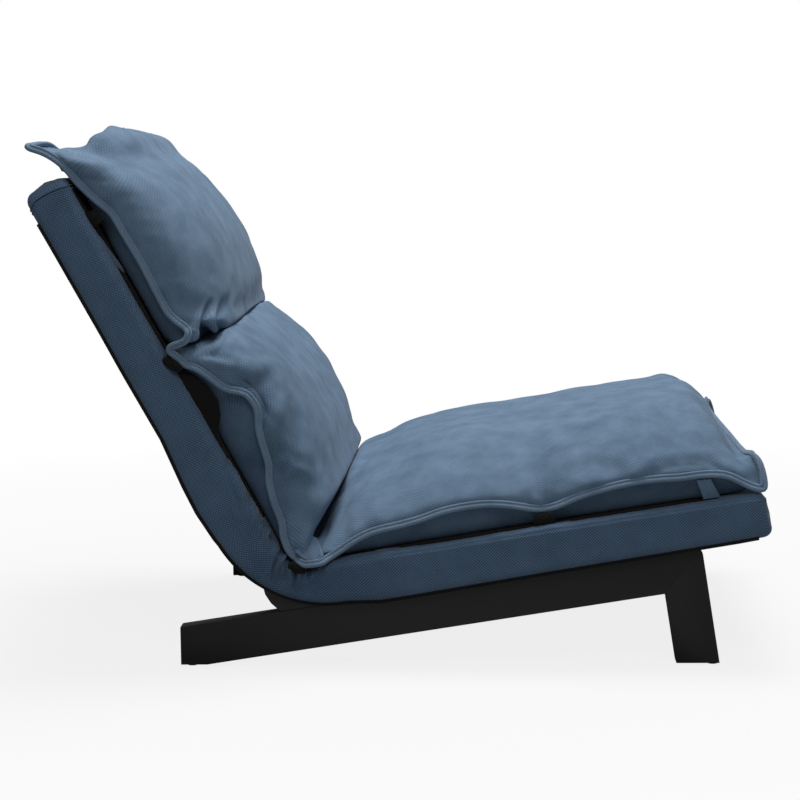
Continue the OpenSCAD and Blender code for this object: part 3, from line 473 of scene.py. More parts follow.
# Painted shade on the platform's side near the bend, and painted light on the back's end cap.
paint_shade_spots(cover, [(seat(60, 0, 20), 0.11, 0.75), (back(690, 0, 33), 0.022, -1.5)])
bisector = np.array([math.cos(tilt - math.radians(55.1)), 0, math.sin(tilt - math.radians(55.1))])
across_bend = np.array([bisector[2], 0, -bisector[0]])
bend_mid = np.array([corner[0], 0, corner[1]]) + 0.055 * bisector
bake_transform(cover)
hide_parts("seat_cover", "bend_cover", "back_cover")

# Cap seam: a thin black tube laid in the groove between the two welts of the seam round the
# back's end cap, on either side of the platform: painted shadow of the groove, not a thread.
parts = []
for side in (-1, 1):
    shade_line = []
    for j in range(19, 55):
        j = j if side < 0 else shell.shape[1] - 1 - j
        i = len(shell) - 1 - int(np.argmax(past[::-1, j] <= 0))
        share = -past[i, j] / (past[i + 1, j] - past[i, j])
        shade_line.append(shell[i, j] + (shell[i + 1, j] - shell[i, j]) * share + 0.0002 * out[i, j])
    shade_line = np.array(shade_line)
    ahead = unit(np.gradient(shade_line, axis=0))
    across = unit(np.cross(ahead, [0, 1.0, 0.3]))
    lift = np.cross(ahead, across)
    a = np.linspace(0, 2 * math.pi, 13)[None, :, None]
    thick = 0.0007 * np.sqrt(np.sin(math.pi * np.linspace(0.001, 0.999, len(shade_line))))[:, None, None]
    tube = shade_line[:, None] + thick * (across[:, None] * np.cos(a) + lift[:, None] * np.sin(a))
    parts.append((tube, flat_uv(tube)))
# Painted shadow: the black tube darkens the seam's groove.
seam_shadow_tube = build("cap_seam_painted_shadow", parts)
seam_shadow_tube.data.materials.append(black_cloth)
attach(seam_shadow_tube, "back")

# Dust cloth: black spun cloth tacked over the underside and just round the outer corners
# of the platform, also one sheet through the bend.
far = [shell.shape[1] - 1 - i for i in range(20, -1, -1)]
flap = far + list(range(1, 21))
inner = [i for i, (kind, u, _) in enumerate(along)
         if kind == "bend" or u < (seat_l - 18 if kind == "seat" else back_l - 34)]
hem = 0.0007 + 0.0022 * bell(from_below - 15, 4)[None, :, None]
strip = (shell + hem * out)[inner[0]:inner[-1], flap]
upper = (shell + 0.0001 * out)[inner[0]:inner[-1], flap]
dust = build("dust_cloth", sheet(strip, upper))
dust.data.materials.append(black_cloth)
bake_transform(dust)
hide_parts("seat_dust_cover", "back_dust_cover")

# Topper lobes: three stuffed cushions in blue suede-like twill, crowned and drawn in along
# their seams; the tables give the crown line, the side seams and the end seams, in mm.
crown_lines = {
    "seat": [(72.5, 87), (97, 115), (124.5, 146), (140, 163), (153, 170.5), (186, 175.2), (218, 185.2),
             (260, 190.3), (300, 193.7), (361, 194.7), (540, 196.3), (603, 195.5), (630, 194),
             (652, 196.8), (662, 196.4), (672, 192.7), (685.5, 175), (691.5, 145.3), (703.5, 115.5),
             (722, 100)],
    "lumbar": [(50.5, 87), (70, 122), (90, 158), (100.5, 177), (104, 182.5), (112.5, 187), (141, 190),
               (173, 202.2), (212.6, 197.6), (252, 197.8), (282.3, 193.4), (317.8, 184.4), (349.3, 181.6),
               (370.2, 173.5), (380.2, 168), (384.3, 161.8), (391, 161.5), (390.5, 156), (388, 148),
               (390, 130), (391.5, 110), (393, 90)],
    "head": [(394, 90), (389, 110), (385, 130), (380, 148), (381, 157), (384, 163), (389, 165.3),
             (398, 165.3), (409, 169.5), (419.7, 178.2), (455, 186.4), (496.3, 193.6), (545.5, 192.9),
             (590.5, 185.1), (631.6, 177.4), (664.7, 161.9), (698, 155.8), (712.3, 145.3), (726.5, 128),
             (706.5, 105), (710.5, 80), (715, 57)]}
seam_lines = {
    "seat": [(87, 68), (101, 68), (122, 76), (148, 88), (173, 95), (212, 98), (243, 101.5), (272, 107),
             (301, 109), (330, 108.5), (359, 104), (386, 96.5), (401, 91.5), (417, 88.5), (430, 88.5),
             (443, 91), (471, 98), (502, 102.5), (530, 105.5), (560, 106.5), (587, 105.5), (615, 103),
             (644, 102.5), (664, 101), (684, 96), (704, 84), (719, 75), (735, 69)],
    "lumbar": [(27.2, 93.5), (35, 90), (48, 81), (63, 76), (83, 78), (106, 87), (134, 91), (165, 100),
               (188, 112), (210, 117), (236, 124), (265, 137), (289, 135), (310, 114), (343, 99),
               (361, 89), (368.5, 81), (378, 77.5), (393, 77)],
    "head": [(396, 90), (402, 99), (411, 108), (424, 103), (442, 96.5), (466, 96), (523, 98),
             (577, 97), (608, 96), (629, 88), (667, 77), (699, 71), (728, 56), (743, 42)]}
far_seams = {
    "seat": seam_lines["seat"][:-2] + [(714, 84), (735, 77)],
    "lumbar": seam_lines["lumbar"],
    "head": seam_lines["head"][:-2] + [(735, 72), (759, 71)]}
end_seams = {
    "seat": [(-1, 728, 69), (-0.985, 729.5, 82), (-0.968, 729, 95), (-0.945, 727, 107), (-0.91, 723, 114.5),
             (-0.85, 720, 113), (-0.7, 720, 106), (-0.5, 721.5, 101), (0, 722, 100), (0.6, 721, 101),
             (0.82, 720, 104), (0.90, 718, 114), (0.94, 722, 118), (0.97, 726, 105), (0.985, 728, 92),
             (1, 729, 77)],
    "head": [(-1, 743, 42), (-0.95, 741.5, 47), (-0.88, 740.5, 51.5), (-0.80, 739, 54), (-0.62, 719, 56),
             (-0.35, 715, 57), (0, 717, 57), (0.6, 722, 57), (0.8, 733, 59), (0.93, 747, 64), (1, 759, 71)]}


def run_along(p):
    """Distance travelled at each of a line's points."""
    return np.r_[0, np.cumsum(np.linalg.norm(np.diff(p, axis=0), axis=1))]


def line(points, shares):
    """Points at these shares of the length of a smooth line through the given points."""
    p = np.asarray(points, float)
    t = run_along(p)
    m = np.gradient(p, t, axis=0)
    s = np.linspace(0, 1, 24, endpoint=False)[:, None]
    dense = []
    for i in range(len(p) - 1):
        h = t[i + 1] - t[i]
        dense.append((2 * s**3 - 3 * s**2 + 1) * p[i] + (s**3 - 2 * s**2 + s) * h * m[i]
                     + (3 * s**2 - 2 * s**3) * p[i + 1] + (s**3 - s**2) * h * m[i + 1])
    dense = np.concatenate(dense + [p[-1:]])
    d = run_along(dense)
    return np.stack([np.interp(shares, d / d[-1], dense[:, k]) for k in range(p.shape[1])], -1)


def swell(a, p):
    return np.maximum(0, 1 - np.abs(a) ** p) ** (1 / p)


def press(d, near):
    """Distances from a crease, in mm, drawn in within the given reach so that two cushions
    lie against each other, and the share by which each point is held there."""
    share = 1 - np.clip(d / near, 0, 1)
    return np.where(d > 0, d * (1 - 0.9 * share ** 2), 0) + 0.25 * share ** 2, share


def bend_crease(p, side):
    """Presses points against the warped plane where seat and lumbar cushion meet, in metres;
    side is +1 for the seat's points and -1 for the lumbar cushion's."""
    lean = slope + math.radians(48.9)
    facing = np.array([math.sin(lean), 0, -math.cos(lean)])
    start = seat(53.7, 0, 66)
    n = (p - seat(0, 0, 0)) @ off_seat * 1000
    edge = step(np.abs(p[..., 1]), 0.29, 0.36)
    d = side * ((p - start) @ facing * 1000 - 23 * np.clip((105 - n) / 36, 0, 1.15) * edge)
    drawn, share = press(d, 14 + 20 * edge)
    return p + (side * (drawn - d) / 1000)[..., None] * facing, share


def pinch_crease(p, side):
    """The same at the curved crease between lumbar (-1) and head (+1) cushion."""
    u = (p - back(0, 0, 0)) @ up_back * 1000
    n = (p - back(0, 0, 0)) @ off_back * 1000
    edge = step(np.abs(p[..., 1]), 0.29, 0.36)
    crease = np.interp(n, [60, 95, 106, 126, 148, 158, 170, 176],
                       [396, 394.5, 391, 388, 382.5, 383, 385.5, 387])
    d = side * (u - crease - 4 * bell(p[..., 1], 0.2))
    drawn, share = press(d, 13 + 3 * edge)
    return p + (side * (drawn - d) / 1000)[..., None] * up_back, share


lobe_size = 132
lobe_half = 365


def lobe_grids(kind, cross, run, shoulder=(0.0, 0.3), ear=1.0, lift=2.0, rest_to=1e9):
    """Upper and lower grid of a lobe as (u, v, n) in mm."""
    s = 0.5 - 0.5 * np.cos(math.pi * np.linspace(0, 1, lobe_size))
    a = 2 * s - 1
    b = np.sin(math.pi / 2 * np.linspace(-1, 1, lobe_size))
    mid = line(crown_lines[kind], s)
    near = line(seam_lines[kind], s)
    far = line(far_seams[kind], s)
    reach = lobe_half - 13 * (1 - a * a)

    def edge(k):
        fall = (1 - np.abs(b) ** 5)[:, None]
        return (near[k] * (1 - b[:, None]) + far[k] * (1 + b[:, None])) / 2 * (1 - fall) + mid[k] * fall

    e0, e1 = edge(0), edge(-1)
    A, B = s[:, None, None], ((b + 1) / 2)[None, :, None]
    coons = ((1 - B) * near[:, None] + B * far[:, None] + (1 - A) * e0[None] + A * e1[None]
             - (1 - A) * ((1 - B) * near[0] + B * far[0]) - A * ((1 - B) * near[-1] + B * far[-1]))
    if kind in end_seams:
        rows = line(np.array(end_seams[kind], float) * [150, 1, 1], np.linspace(0, 1, 600))
        e1_true = np.stack([np.interp(b, rows[:, 0] / 150, rows[:, j]) for j in (1, 2)], -1)
        coons = coons + (e1_true - e1)[None] * (A ** 12)
    rise = mid - coons[:, lobe_size // 2 - 1:lobe_size // 2 + 1].mean(1)
    free = step(s, 0.55, 1.0)[:, None]
    full = swell(b, cross)[None]
    eared = ear * full + (1 - ear) * step(1 - np.abs(b), *shoulder)[None]
    w = full * (1 - free) + eared * free
    top = coons + rise[:, None] * w[..., None]
    v = reach[:, None] * b[None]
    bulge = 4 * w * (1 - w) * np.sign(b)[None] * 11
    tall = np.clip(rise[:, 1] / 90, 0, 1)
    up = np.stack([top[..., 0], v + bulge * tall[:, None], top[..., 1]], -1)
    run = np.interp(mid[:, 0], *run)[:, None] if isinstance(run, tuple) else run
    da = np.minimum(s, 1 - s)[:, None] * np.ptp(near[:, 0]) + 1e-6
    db = (1 - np.abs(b))[None] * lobe_half + 1e-6
    d = ((da * run / 24) ** -3.0 + db ** -3.0) ** (-1 / 3)
    q = 1 - (1 - np.clip(d / run, 0, 1)) ** 1.6
    base = coons[..., 1]
    over = step(coons[..., 0], rest_to, rest_to + 8)
    floor_n = np.minimum(66.9 + lift * (1 - step(d, run, 2.6 * run)), base - 3.5)
    hang = base - 3.5 - 26 * q * step(d, 0, 60)
    low_n = base + (np.where(over > 0.5, np.maximum(hang, 58 + 0 * hang), floor_n) - base) * q
    low_n = np.minimum(low_n, base)
    low = np.stack([coons[..., 0], v, low_n], -1)
    return up, low


def inflate(made, pressure, cap):
    """Fills a cushion's cover by Blender's cloth solver and keeps what it changed, up to
    cap metres a point; the seams, the underside and the pressed ends are held."""
    mesh = made.data
    count = len(mesh.vertices)
    hold = np.empty(count)
    mesh.attributes["hold"].data.foreach_get("value", hold)
    before = np.empty(count * 3)
    mesh.vertices.foreach_get("co", before)
    before = before.reshape(-1, 3)
    pins = made.vertex_groups.new(name="held")
    for i, h in enumerate(hold):
        if h > 0.001:
            pins.add([i], float(min(h, 1)), "REPLACE")
    cloth = made.modifiers.new("cloth", "CLOTH")
    for key, value in {
            "vertex_group_mass": "held", "quality": 4, "mass": 0.3, "tension_stiffness": 12,
            "compression_stiffness": 12, "shear_stiffness": 5, "bending_stiffness": 0.4,
            "tension_damping": 8, "compression_damping": 8, "shrink_min": 0.0, "use_pressure": True,
            "uniform_pressure_force": pressure}.items():
        setattr(cloth.settings, key, value)
    cloth.settings.effector_weights.gravity = 0
    cloth.collision_settings.use_collision = False
    cloth.collision_settings.use_self_collision = False
    last_frame = 12
    cloth.point_cache.frame_start = 1
    cloth.point_cache.frame_end = last_frame
    for f in range(1, last_frame + 1):
        scene.frame_set(f)
    shown = made.evaluated_get(bpy.context.evaluated_depsgraph_get()).to_mesh()
    after = np.empty(count * 3)
    shown.vertices.foreach_get("co", after)
    made.modifiers.remove(cloth)
    made.vertex_groups.remove(pins)
    scene.frame_set(1)
    move = after.reshape(-1, 3) - before
    size = np.linalg.norm(move, axis=1, keepdims=True)
    move *= cap * np.tanh(size / cap) / np.maximum(size, 1e-9) * (1 - np.clip(hold, 0, 1))[:, None]
    return before + move


def lobe(kind, name, place, body, cad, folds, seed, creases, dents=(), painted_shade=(), **extra):
    """Makes, fills and paints one lobe, painted shade too, and gives back its upper grid for the cord."""
    up, low = lobe_grids(kind, **extra)
    top = place(up[..., 0], up[..., 1], up[..., 2])
    under = place(low[..., 0], low[..., 1], low[..., 2])
    U, V = lengths(top, 0), lengths(top, 1)
    V = V - V[:, lobe_size // 2][:, None]
    width = np.abs(V).max(1)[:, None]
    side_d = width - np.abs(V)
    end0, end1 = U, U.max(0) - U
    along_side = np.stack([U, V * 0 + np.sign(V)], -1)
    along_end = np.stack([V, U * 0], -1)
    rim_d = np.minimum(side_d, np.minimum(end0, end1))
    rise = 1 - np.exp(-side_d / 0.004)
    h = 0.0017 * rise * np.exp(-side_d / 0.026) * ripple(along_side, 0.030, seed)
    h += 0.0020 * rise * np.exp(-side_d / 0.060) * ripple(along_side, 0.075, seed + 1)
    for k, d in enumerate((end0, end1)):
        h += 0.0014 * (1 - np.exp(-d / 0.004)) * np.exp(-d / 0.030) * ripple(along_end, 0.045, seed + 2 + k)
    edge_fade = 1 - np.exp(-rim_d / 0.02)
    h += edge_fade * (0.0022 * ripple(top, 0.22, seed + 4) + 0.0007 * ripple(top, 0.06, seed + 5))
    facing = normals(top)
    facing *= np.sign((facing * (top - under.mean((0, 1)))).sum(-1).mean())
    rim = 1 - np.exp(-rim_d / 0.003)
    h += rim * strokes(top, folds)
    for u, n, size, deep in dents:
        away = np.linalg.norm((top - place(u, 0, n))[..., [0, 2]], axis=-1)
        h -= deep * bell(away, size) * step(np.abs(top[..., 1]), 0.24, 0.32)
    top = top + facing * (h * rim)[..., None]
    pressed = 0
    for crease, side in creases:
        (top, share), (under, _) = crease(top, side), crease(under, side)
        pressed = np.maximum(pressed, share)
    hold = np.maximum(np.exp(-rim_d / 0.012), pressed)
    made = build(name, [(top, np.stack([U, V], -1)), (under, flat_uv(under))],
                 hold=[hold, np.ones(under.shape[:2])], paint=[0, 1])
    made.data.materials.append(topper_suede)
    # The lower panels take the darker copy of the suede: painted shade.
    made.data.materials.append(shade_painted_suede)
    points = inflate(made, pressure=3.0, cap=0.006)
    for crease, side in creases:
        points, _ = crease(points, side)
    made.data.vertices.foreach_set("co", points.ravel())
    made.data.update()
    # Painted shade: darker spots on the cushion's sides where they lie in shade.
    paint_shade_spots(made, [(place(u, 0, n), reach, much) for u, n, reach, much in painted_shade])
    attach(made, body)
    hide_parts(cad)
    return up


seat_up = lobe("seat", "seat_cushion_cover", seat, "base", "seat_cushion", both_sides(seat, [
    ([(417, 94), (424, 114), (440, 146), (462, 174)], (0.007, 0.006), 0.0045, 0.3),
    ([(412, 94), (404, 114), (392, 142)], (0.007, 0.006), 0.0036, 0.3),
    ([(447, 122), (471, 133), (507, 136), (564, 130)], (0.011, 0.010), -0.0050, 0.15),
    ([(550, 113), (570, 127), (593, 138), (643, 135), (680, 124)], (0.009, 0.008), 0.0036, 0.3),
    ([(579, 116), (608, 120), (648, 119), (686, 110)], (0.008, 0.008), -0.0026, 0.15),
    ([(702, 98), (676, 122), (650, 152)], (0.009, 0.006), 0.0030, 0.3),
    ([(92, 74), (94, 92), (104, 114)], (0.0045, 0.0035), 0.0042, 0.4),
    ([(102, 74), (116, 94), (134, 116)], (0.006, 0.005), 0.0034, 0.3)]), 21, [(bend_crease, 1)],
    dents=[(90, 102, 0.011, 0.007)],
    # Painted shade spots on the cushion's sides: place, reach and how much.
    painted_shade=[(707, 113, 0.045, 0.45), (581, 136, 0.060, 0.45), (450, 136, 0.050, 0.30)],
    cross=2.15, ear=0.75, shoulder=(0.05, 0.5), run=18, lift=0.3)
lumbar_up = lobe("lumbar", "lumbar_cushion_cover", back, "back", "lumbar_cushion", both_sides(back, [
    ([(372, 88), (356, 112), (330, 142)], (0.007, 0.005), 0.0034, 0.3),
    ([(384, 88), (378, 110), (366, 140)], (0.006, 0.005), 0.0030, 0.3),
    ([(306, 142), (292, 154), (272, 150), (252, 137), (236, 121)], (0.015, 0.011), -0.0130, 0.25),
    ([(316, 158), (298, 176), (268, 188)], (0.010, 0.010), 0.0040, 0.2),
    ([(262, 132), (242, 140), (220, 140)], (0.006, 0.005), 0.0030, 0.3),
    ([(180, 132), (150, 150), (112, 170)], (0.008, 0.007), 0.0030, 0.2),
    ([(44, 92), (58, 104), (66, 124)], (0.0045, 0.0035), -0.0040, 0.4),
    ([(58, 84), (74, 98), (90, 124)], (0.006, 0.005), 0.0040, 0.3)]), 31,
    [(bend_crease, -1), (pinch_crease, -1)],
    # Painted shade spots on the cushion's sides: place, reach and how much.
    painted_shade=[(194, 120, 0.050, 1.00), (296, 147, 0.040, 0.70), (334, 217, 0.050, 0.70),
             (210, 211, 0.060, 0.30)], cross=3.4, run=24, lift=0.6)
head_up = lobe("head", "head_cushion_cover", back, "back", "head_cushion", both_sides(back, [
    ([(391, 118), (404, 130), (417, 141), (432, 155)], (0.0070, 0.0024), -0.0105, 0.42),
    ([(387, 130), (400, 139), (416, 150), (430, 160)], (0.0026, 0.0020), 0.0034, 0.42),
    ([(388, 138), (401, 146), (413, 155), (426, 166)], (0.0042, 0.0034), -0.0040, 0.42),
    ([(402, 110), (410, 126), (424, 143)], (0.0060, 0.0040), 0.0042, 0.4),
    ([(709, 89), (692, 114), (671, 140)], (0.010, 0.009), -0.0060, 0.35),
    ([(704, 76), (676, 108), (652, 138)], (0.010, 0.010), 0.0040, 0.3)]), 41,
    # Painted shade spots on the cushion's sides: place, reach and how much.
    [(pinch_crease, 1)], painted_shade=[(447, 156, 0.055, 0.20), (473, 211, 0.060, 0.35)],
    cross=3.2, ear=0.25, shoulder=(0.12, 0.40), rest_to=690, run=([400, 560, 620], [24, 26, 46]))

# Piping: one self-covered cord sewn into the topper's seam all round, with the seam's
# allowance rolled beside it; it folds over itself at the pinches and turns at the bend.
# Its cloth is a lighter copy of the topper's: painted highlight.


def rim_points(up, place, b_index, rows, push):
    """Seam points of a lobe's side and the way out from it, in the order of rows."""
    p = up[rows, b_index]
    out_v = -1 if b_index == 0 else 1
    return place(p[:, 0], p[:, 1] + out_v * push, p[:, 2]), np.repeat([[0, out_v, 0.0]], len(p), 0)


def extra_points(place, side, pts):
    """Points of the cord between two lobes, as (u, |v|, n)."""
    u, v, n = np.asarray(pts, float).T
    return place(u, side * v, n), np.repeat([[0, float(side), 0]], len(pts), 0)


def end_points(up, place, columns, push):
    """Seam points of a lobe's end and the way out from it, fanned out at the corners."""
    ahead = unit(place(1, 0, 0) - place(0, 0, 0))
    u, v, n = up[-1, columns].T
    fan = (np.abs(v) / lobe_half) ** 12 * np.sign(v)
    ways = unit(ahead + fan[:, None] * [0, 1.0, 0])
    return place(u, v, n) + ways * push / 1000, ways


push = 3.5
last = lobe_size - 1
z_fold = [(393, 373, 73.5), (399, 374, 71.8), (402.5, 375, 77), (400, 374, 87), (398.3, 372, 99),
          (403, 371, 107), (410, 369, 109.5)]
u_turn = [(48, 371, 81), (38, 375, 85.5)]
u_low = [(84, 378, 64.5), (95, 376, 64.5)]
pieces = [
    extra_points(seat, -1, u_low), rim_points(seat_up, seat, 0, np.arange(14, last), push),
    end_points(seat_up, seat, np.arange(1, last), push),
    rim_points(seat_up, seat, -1, np.arange(last - 1, 13, -1), push), extra_points(seat, 1, u_low[::-1]),
    extra_points(back, 1, u_turn[::-1]), rim_points(lumbar_up, back, -1, np.arange(20, last - 13), push),
    extra_points(back, 1, z_fold), rim_points(head_up, back, -1, np.arange(21, last), push),
    end_points(head_up, back, np.arange(last - 1, 0, -1), push),
    rim_points(head_up, back, 0, np.arange(last - 1, 20, -1), push), extra_points(back, -1, z_fold[::-1]),
    rim_points(lumbar_up, back, 0, np.arange(last - 14, 19, -1), push), extra_points(back, -1, u_turn)]
points = np.concatenate([p for p, _ in pieces])
ways = np.concatenate([o for _, o in pieces])
points, ways = np.concatenate([points, points[:1]]), np.concatenate([ways, ways[:1]])
gone = run_along(points)
pace = 0.003
even = np.arange(0, gone[-1] - pace / 2, pace)
points = np.stack([np.interp(even, gone, points[:, k]) for k in range(3)], -1)
ways = np.stack([np.interp(even, gone, ways[:, k]) for k in range(3)], -1)
for _ in range(3):
    points = (np.roll(points, 1, 0) + 2 * points + np.roll(points, -1, 0)) / 4
for _ in range(12):
    ways = (np.roll(ways, 1, 0) + 2 * ways + np.roll(ways, -1, 0)) / 4
ahead = unit(np.roll(points, -1, 0) - np.roll(points, 1, 0))
ways = unit(ways - (ways * ahead).sum(1)[:, None] * ahead)
below = np.cross(ahead, ways)
turn = np.radians(np.linspace(160, -58, 15))
roll_turn = np.radians(np.linspace(30, -170, 12))
profile = np.concatenate([np.stack([1.4 + 3.3 * np.cos(turn), 1.4 + 3.3 * np.sin(turn)], -1),
                          np.stack([-0.6 + 2.4 * np.cos(roll_turn), -3.9 + 2.4 * np.sin(roll_turn)], -1),
                          [(-5.0, -3.4), (-5.0, 1.2)]]) / 1000
profile = np.concatenate([profile, profile[:1]])
ring = points[:, None] + ways[:, None] * profile[None, :, :1] + below[:, None] * profile[None, :, 1:]
ring = np.concatenate([ring, ring[:1]])
gone = np.arange(len(ring))[:, None] * pace + np.zeros(ring.shape[1])[None]
pipe = build("piping_cord", [(ring, np.stack([gone, lengths(ring, 1)], -1))])
# The cord takes the lighter copy of the suede: painted highlight.
pipe.data.materials.append(lit_cord_suede)
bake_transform(pipe)
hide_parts("seat_piping", "back_piping")

# Gusset: the small pleated corner of the cover between seat and lumbar cushion, inside the
# cord's turn at the bend, drawn into the crease.
t = np.linspace(0, 1, 60)
foot = line(seat([59, 64, 71, 80, 89, 99], 0, [88, 79, 72, 68, 68, 73]), t)
apex = line(seat([66, 73, 80, 86, 91, 94], 0, [90, 95, 98, 99, 95, 87]), t)
r = np.linspace(0, 1, 24)[None, :, None]
parts = []
for side in (-1, 1):
    face = foot[:, None] + (apex[:, None] - foot[:, None]) * r
    pleat = 0.0016 * np.sin(t * 15)[:, None] * np.sin(math.pi * (0.15 + 0.8 * r[..., 0])) + 0 * face[..., 0]
    face[..., 1] = side * (0.3735 - 0.026 * r[..., 0] ** 1.3 + pleat)
    parts += sheet(face, face - [0, side * 0.0014, 0])
gusset = build("bend_gussets", parts)
gusset.data.materials.append(topper_suede)
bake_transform(gusset)

# Ties and straps: short folded bands that hold the topper to the platform, black elastic at
# the creases and the seat's middle, a black flap under the lumbar cushion, and slanting
# loops in the cover's cloth near the front corners, painted darker as shade.


def both(shape, *sizes):
    """The grids of a shape on the right side and on the left."""
    return shape(-1, *sizes) + shape(1, *sizes)


def band(side, place, feet, tops, v, low, high):
    """A folded band standing between the platform's edge and the seam above it; feet and
    tops are its two edges' places below and above."""
    thick, bow = 1.6, 3.0
    t = np.linspace(0, 1, 25)[:, None]
    w = np.linspace(0, 1, 13)[None]
    left = feet[0] + (tops[0] - feet[0]) * t
    right_edge = feet[1] + (tops[1] - feet[1]) * t
    uu = left + (right_edge - left) * w
    nn = low + (high - low) * t + 0 * uu
    bulge = bow * np.sin(math.pi * t) * (1 - 1.4 * (w - 0.5) ** 2) + 0.4 * np.sin(14 * w)
    return sheet(place(uu, side * (v + bulge), nn), place(uu, side * (v + bulge - thick), nn))


def flap_parts(side):
    """The black flap under the lumbar cushion, a thin sheet that stands on the lining."""
    t = np.linspace(0, 1, 40)[:, None]
    w = np.linspace(0, 1, 9)[None]
    u = 372 - 150 * t
    low = 61 + 3 * t
    high = np.interp(t, [0, 0.16, 0.30, 0.48, 0.60, 0.74, 1], [66, 84, 93, 95, 88, 72, 67])
    n = low + (high - low) * w
    v = 362 - 5 * w + 1.2 * np.sin(9 * t)
    return sheet(back(u, side * v, n), back(u, side * (v - 1.2), n))


def knot(side, place, u, n, long, wide, turn):
    """A tie's folded knot, a puffed lens of black elastic on the platform's edge."""
    around = np.linspace(0, 2 * math.pi, 41)[None]
    r = np.linspace(0, 1, 10)[:, None]
    a = long * np.sign(np.cos(around)) * np.abs(np.cos(around)) ** 0.8
    b = wide * np.sign(np.sin(around)) * np.abs(np.sin(around)) ** 0.8
    uu = u + r * (a * math.cos(turn) - b * math.sin(turn))
    nn = n + r * (a * math.sin(turn) + b * math.cos(turn))
    swelling = 7.5 * np.sqrt(1 - r ** 2) * (1 + 0.10 * np.sin(3 * around) + 0.06 * np.cos(7 * r + around))
    uv = np.stack([uu, nn], -1) / 1000
    v = half_w - 2.5
    return [(place(uu, side * (v + swelling), nn), uv), (place(uu, side * v, nn), uv)]


for name, place, body, cad, paint, slot_name, spots in (
        ("seat_tie_bands", seat, "base", "seat_ties", black_cloth, "black_cloth",
         [((401, 432), (404, 428), 363, 66, 83), ((50, 77), (52, 75), 369, 54, 69)]),
        ("back_tie_bands", back, "back", "back_ties", black_cloth, "black_cloth",
         [((364, 394), (366, 392), 363, 58, 80), ((600, 624), (602, 622), 363, 64, 84)]),
        # The loops take the darker copy of the suede: painted shade under the cord.
        ("front_strap_loops", seat, "base", "corner_straps", shade_painted_suede, "topper_cloth",
         [((644, 668), (638, 658), 363, 67, 96)])):
    parts = []
    for spot in spots:
        parts += both(band, place, *spot)
    if name == "back_tie_bands":
        parts += both(flap_parts) + both(knot, back, 378.5, 66.5, 16, 7.5, -0.51)
    if name == "seat_tie_bands":
        parts += both(knot, seat, 58.5, 62.5, 14, 8, -0.40)
    made = build(name, parts)
    made.data.materials.append(paint)
    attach(made, body)
    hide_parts(cad)

# Linings: plain black cloth laid on top of the platform, seen in the gap under the topper.
for name, place, body, cad, end, reach in (
        ("seat_lining_cloth", seat, "base", "seat_lining", 664, ([120, 150, 160], [352, 352, 361])),
        ("back_lining_cloth", back, "back", "back_lining", 672, ([120, 222, 234], [346, 346, 361]))):
    u = np.linspace(bend_u + 2, end, 80)[:, None]
    v = np.linspace(-1, 1, 70)[None] * np.interp(u, *reach)
    wave = 0.12 * ripple(np.stack(np.broadcast_arrays(u, v), -1), 90, 3)
    made = build(name, sheet(place(u, v, 66.15 + wave), place(u, v, 65.4 + wave)))
    made.data.materials.append(black_cloth)
    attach(made, body)
    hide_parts(cad)

# Bend foam: the soft roll that fills the cover's bend round the hinges; its mesh is cut
# across the bend by planes 4 mm apart.
foam = bpy.data.meshes.new("bend_foam_roll")
bm = bmesh.new()
bm.from_mesh(nodes["bend_foam"].data)
bm.transform(nodes["bend_foam"].matrix_world)
for k in range(-30, 31):
    bmesh.ops.bisect_plane(bm, geom=bm.verts[:] + bm.edges[:] + bm.faces[:],
                           plane_co=bend_mid + 0.004 * k * across_bend, plane_no=across_bend)
bmesh.ops.triangulate(bm, faces=bm.faces)
bm.to_mesh(foam)
bm.free()
foam_roll = bpy.data.objects.new("bend_foam_roll", foam)
scene.collection.objects.link(foam_roll)
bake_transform(foam_roll)
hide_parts("bend_foam")

# Side frames: solid beech rails, legs, saddle blocks and stretchers, edges eased and
# sprayed with a near-black satin lacquer through which a faint grain shows.


def solid_material(name, colour, rough, metal=0.0, *, grain, contrast=0.3, bump=0.0002, coat=0.0):
    """A finish with fine specks in its colour, gloss and height, drawn out along the rails."""
    made = bpy.data.materials.new(name)
    made.use_nodes = True
    tree = made.node_tree
    spot = node(tree, "TexCoord", {}).outputs["Object"]
    drawn = node(tree, "Mapping", {"Vector": spot, "Scale": np.broadcast_to(grain, 3),
                                   "Rotation": (0, slope, 0)})
    speck = node(tree, "TexNoise", {"Vector": drawn, "Scale": 10.0, "Detail": 6.0, "Roughness": 0.62})
    paint = node(tree, "Mix", {"data_type": "RGBA", 0: speck,
                               6: (*[c * (1 - contrast) for c in colour], 1),
                               7: (*[min(1, c * (1 + contrast)) for c in colour], 1)})
    gloss = node(tree, "MapRange", {"Value": speck, "To Min": max(0.02, rough - 0.12),
                                    "To Max": min(1.0, rough + 0.12)})
    relief = node(tree, "Bump", {"Height": speck, "Strength": 0.5, "Distance": bump})
    wire(tree, tree.nodes["Principled BSDF"], {
        "Base Color": paint.outputs[2], "Roughness": gloss, "Normal": relief, "Metallic": metal,
        "Coat Weight": coat, "Coat Roughness": 0.25})
    return made


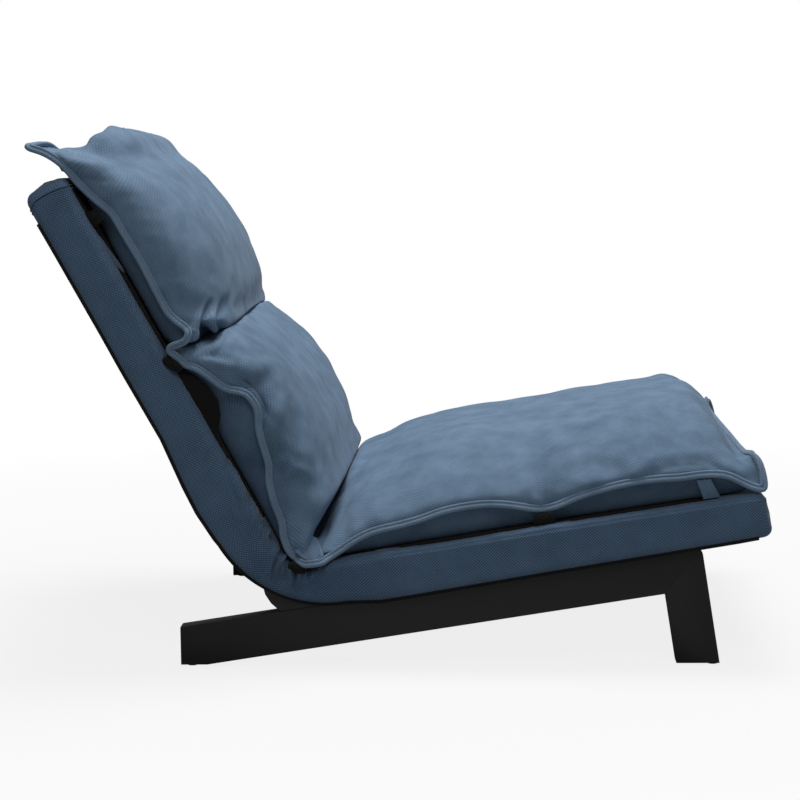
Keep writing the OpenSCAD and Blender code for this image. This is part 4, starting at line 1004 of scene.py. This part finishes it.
lacquer = solid_material("black_lacquer", (0.011, 0.011, 0.0115), 0.42, grain=(1.2, 14, 14), coat=0.15)
for name in ("rail_right", "rail_left", "front_leg_right", "front_leg_left", "rear_stretcher",
             "front_stretcher", "saddle_block_right", "saddle_block_left"):
    piece = nodes[name]
    piece.data.materials.clear()
    piece.data.materials.append(lacquer)
    piece.data.polygons.foreach_set("use_smooth", [True] * len(piece.data.polygons))
    weld = piece.modifiers.new("weld", "WELD")
    weld.merge_threshold = 0.00001
    plane = piece.modifiers.new("plane", "DECIMATE")
    plane.decimate_type = "DISSOLVE"
    plane.angle_limit = math.radians(1)
    ease = piece.modifiers.new("ease", "BEVEL")
    ease.width = 0.0018
    ease.segments = 3
    ease.limit_method = "ANGLE"
    ease.angle_limit = math.radians(40)
    ease.harden_normals = True

# Hidden works: dowels, springs, tubes, hinges and foam keep the CAD shapes with the finish
# of what they are made of.
cream = solid_material("foam_cream", (0.80, 0.72, 0.50), 0.9, grain=120, contrast=0.12, bump=0.001)
foam.materials.append(cream)
for paint, names in (
        (solid_material("beech", (0.50, 0.34, 0.19), 0.6, grain=(2, 20, 20)),
         ["corner_dowels", "stretcher_dowels"]),
        (solid_material("glide_plastic_black", (0.02, 0.02, 0.02), 0.5, grain=60),
         ["rear_glides", "front_glides"]),
        (solid_material("zinc", (0.55, 0.56, 0.58), 0.35, 1.0, grain=40, contrast=0.15),
         ["frame_bolts", "frame_nuts", "hinge_washers", "pivot_pins", "pawl_pins",
          "seat_spring_clips", "back_spring_clips"]),
        (solid_material("powder_steel", (0.03, 0.03, 0.032), 0.45, 0.6, grain=70),
         ["seat_side_tubes", "seat_cross_tubes", "back_side_tubes", "back_cross_tubes",
          "hinge_plate_right", "hinge_plate_left", "hinge_arm_right", "hinge_arm_left",
          "pawl_right", "pawl_left"]),
        (solid_material("spring_wire", (0.30, 0.30, 0.31), 0.4, 1.0, grain=50),
         ["seat_springs", "back_springs", "pawl_spring_right", "pawl_spring_left"]),
        (solid_material("felt_grey", (0.22, 0.22, 0.21), 0.95, grain=90, contrast=0.4, bump=0.001),
         ["seat_felt", "back_felt"]),
        (cream, ["seat_foam", "back_foam"])):
    for name in names:
        nodes[name].data.materials.clear()
        nodes[name].data.materials.append(paint)
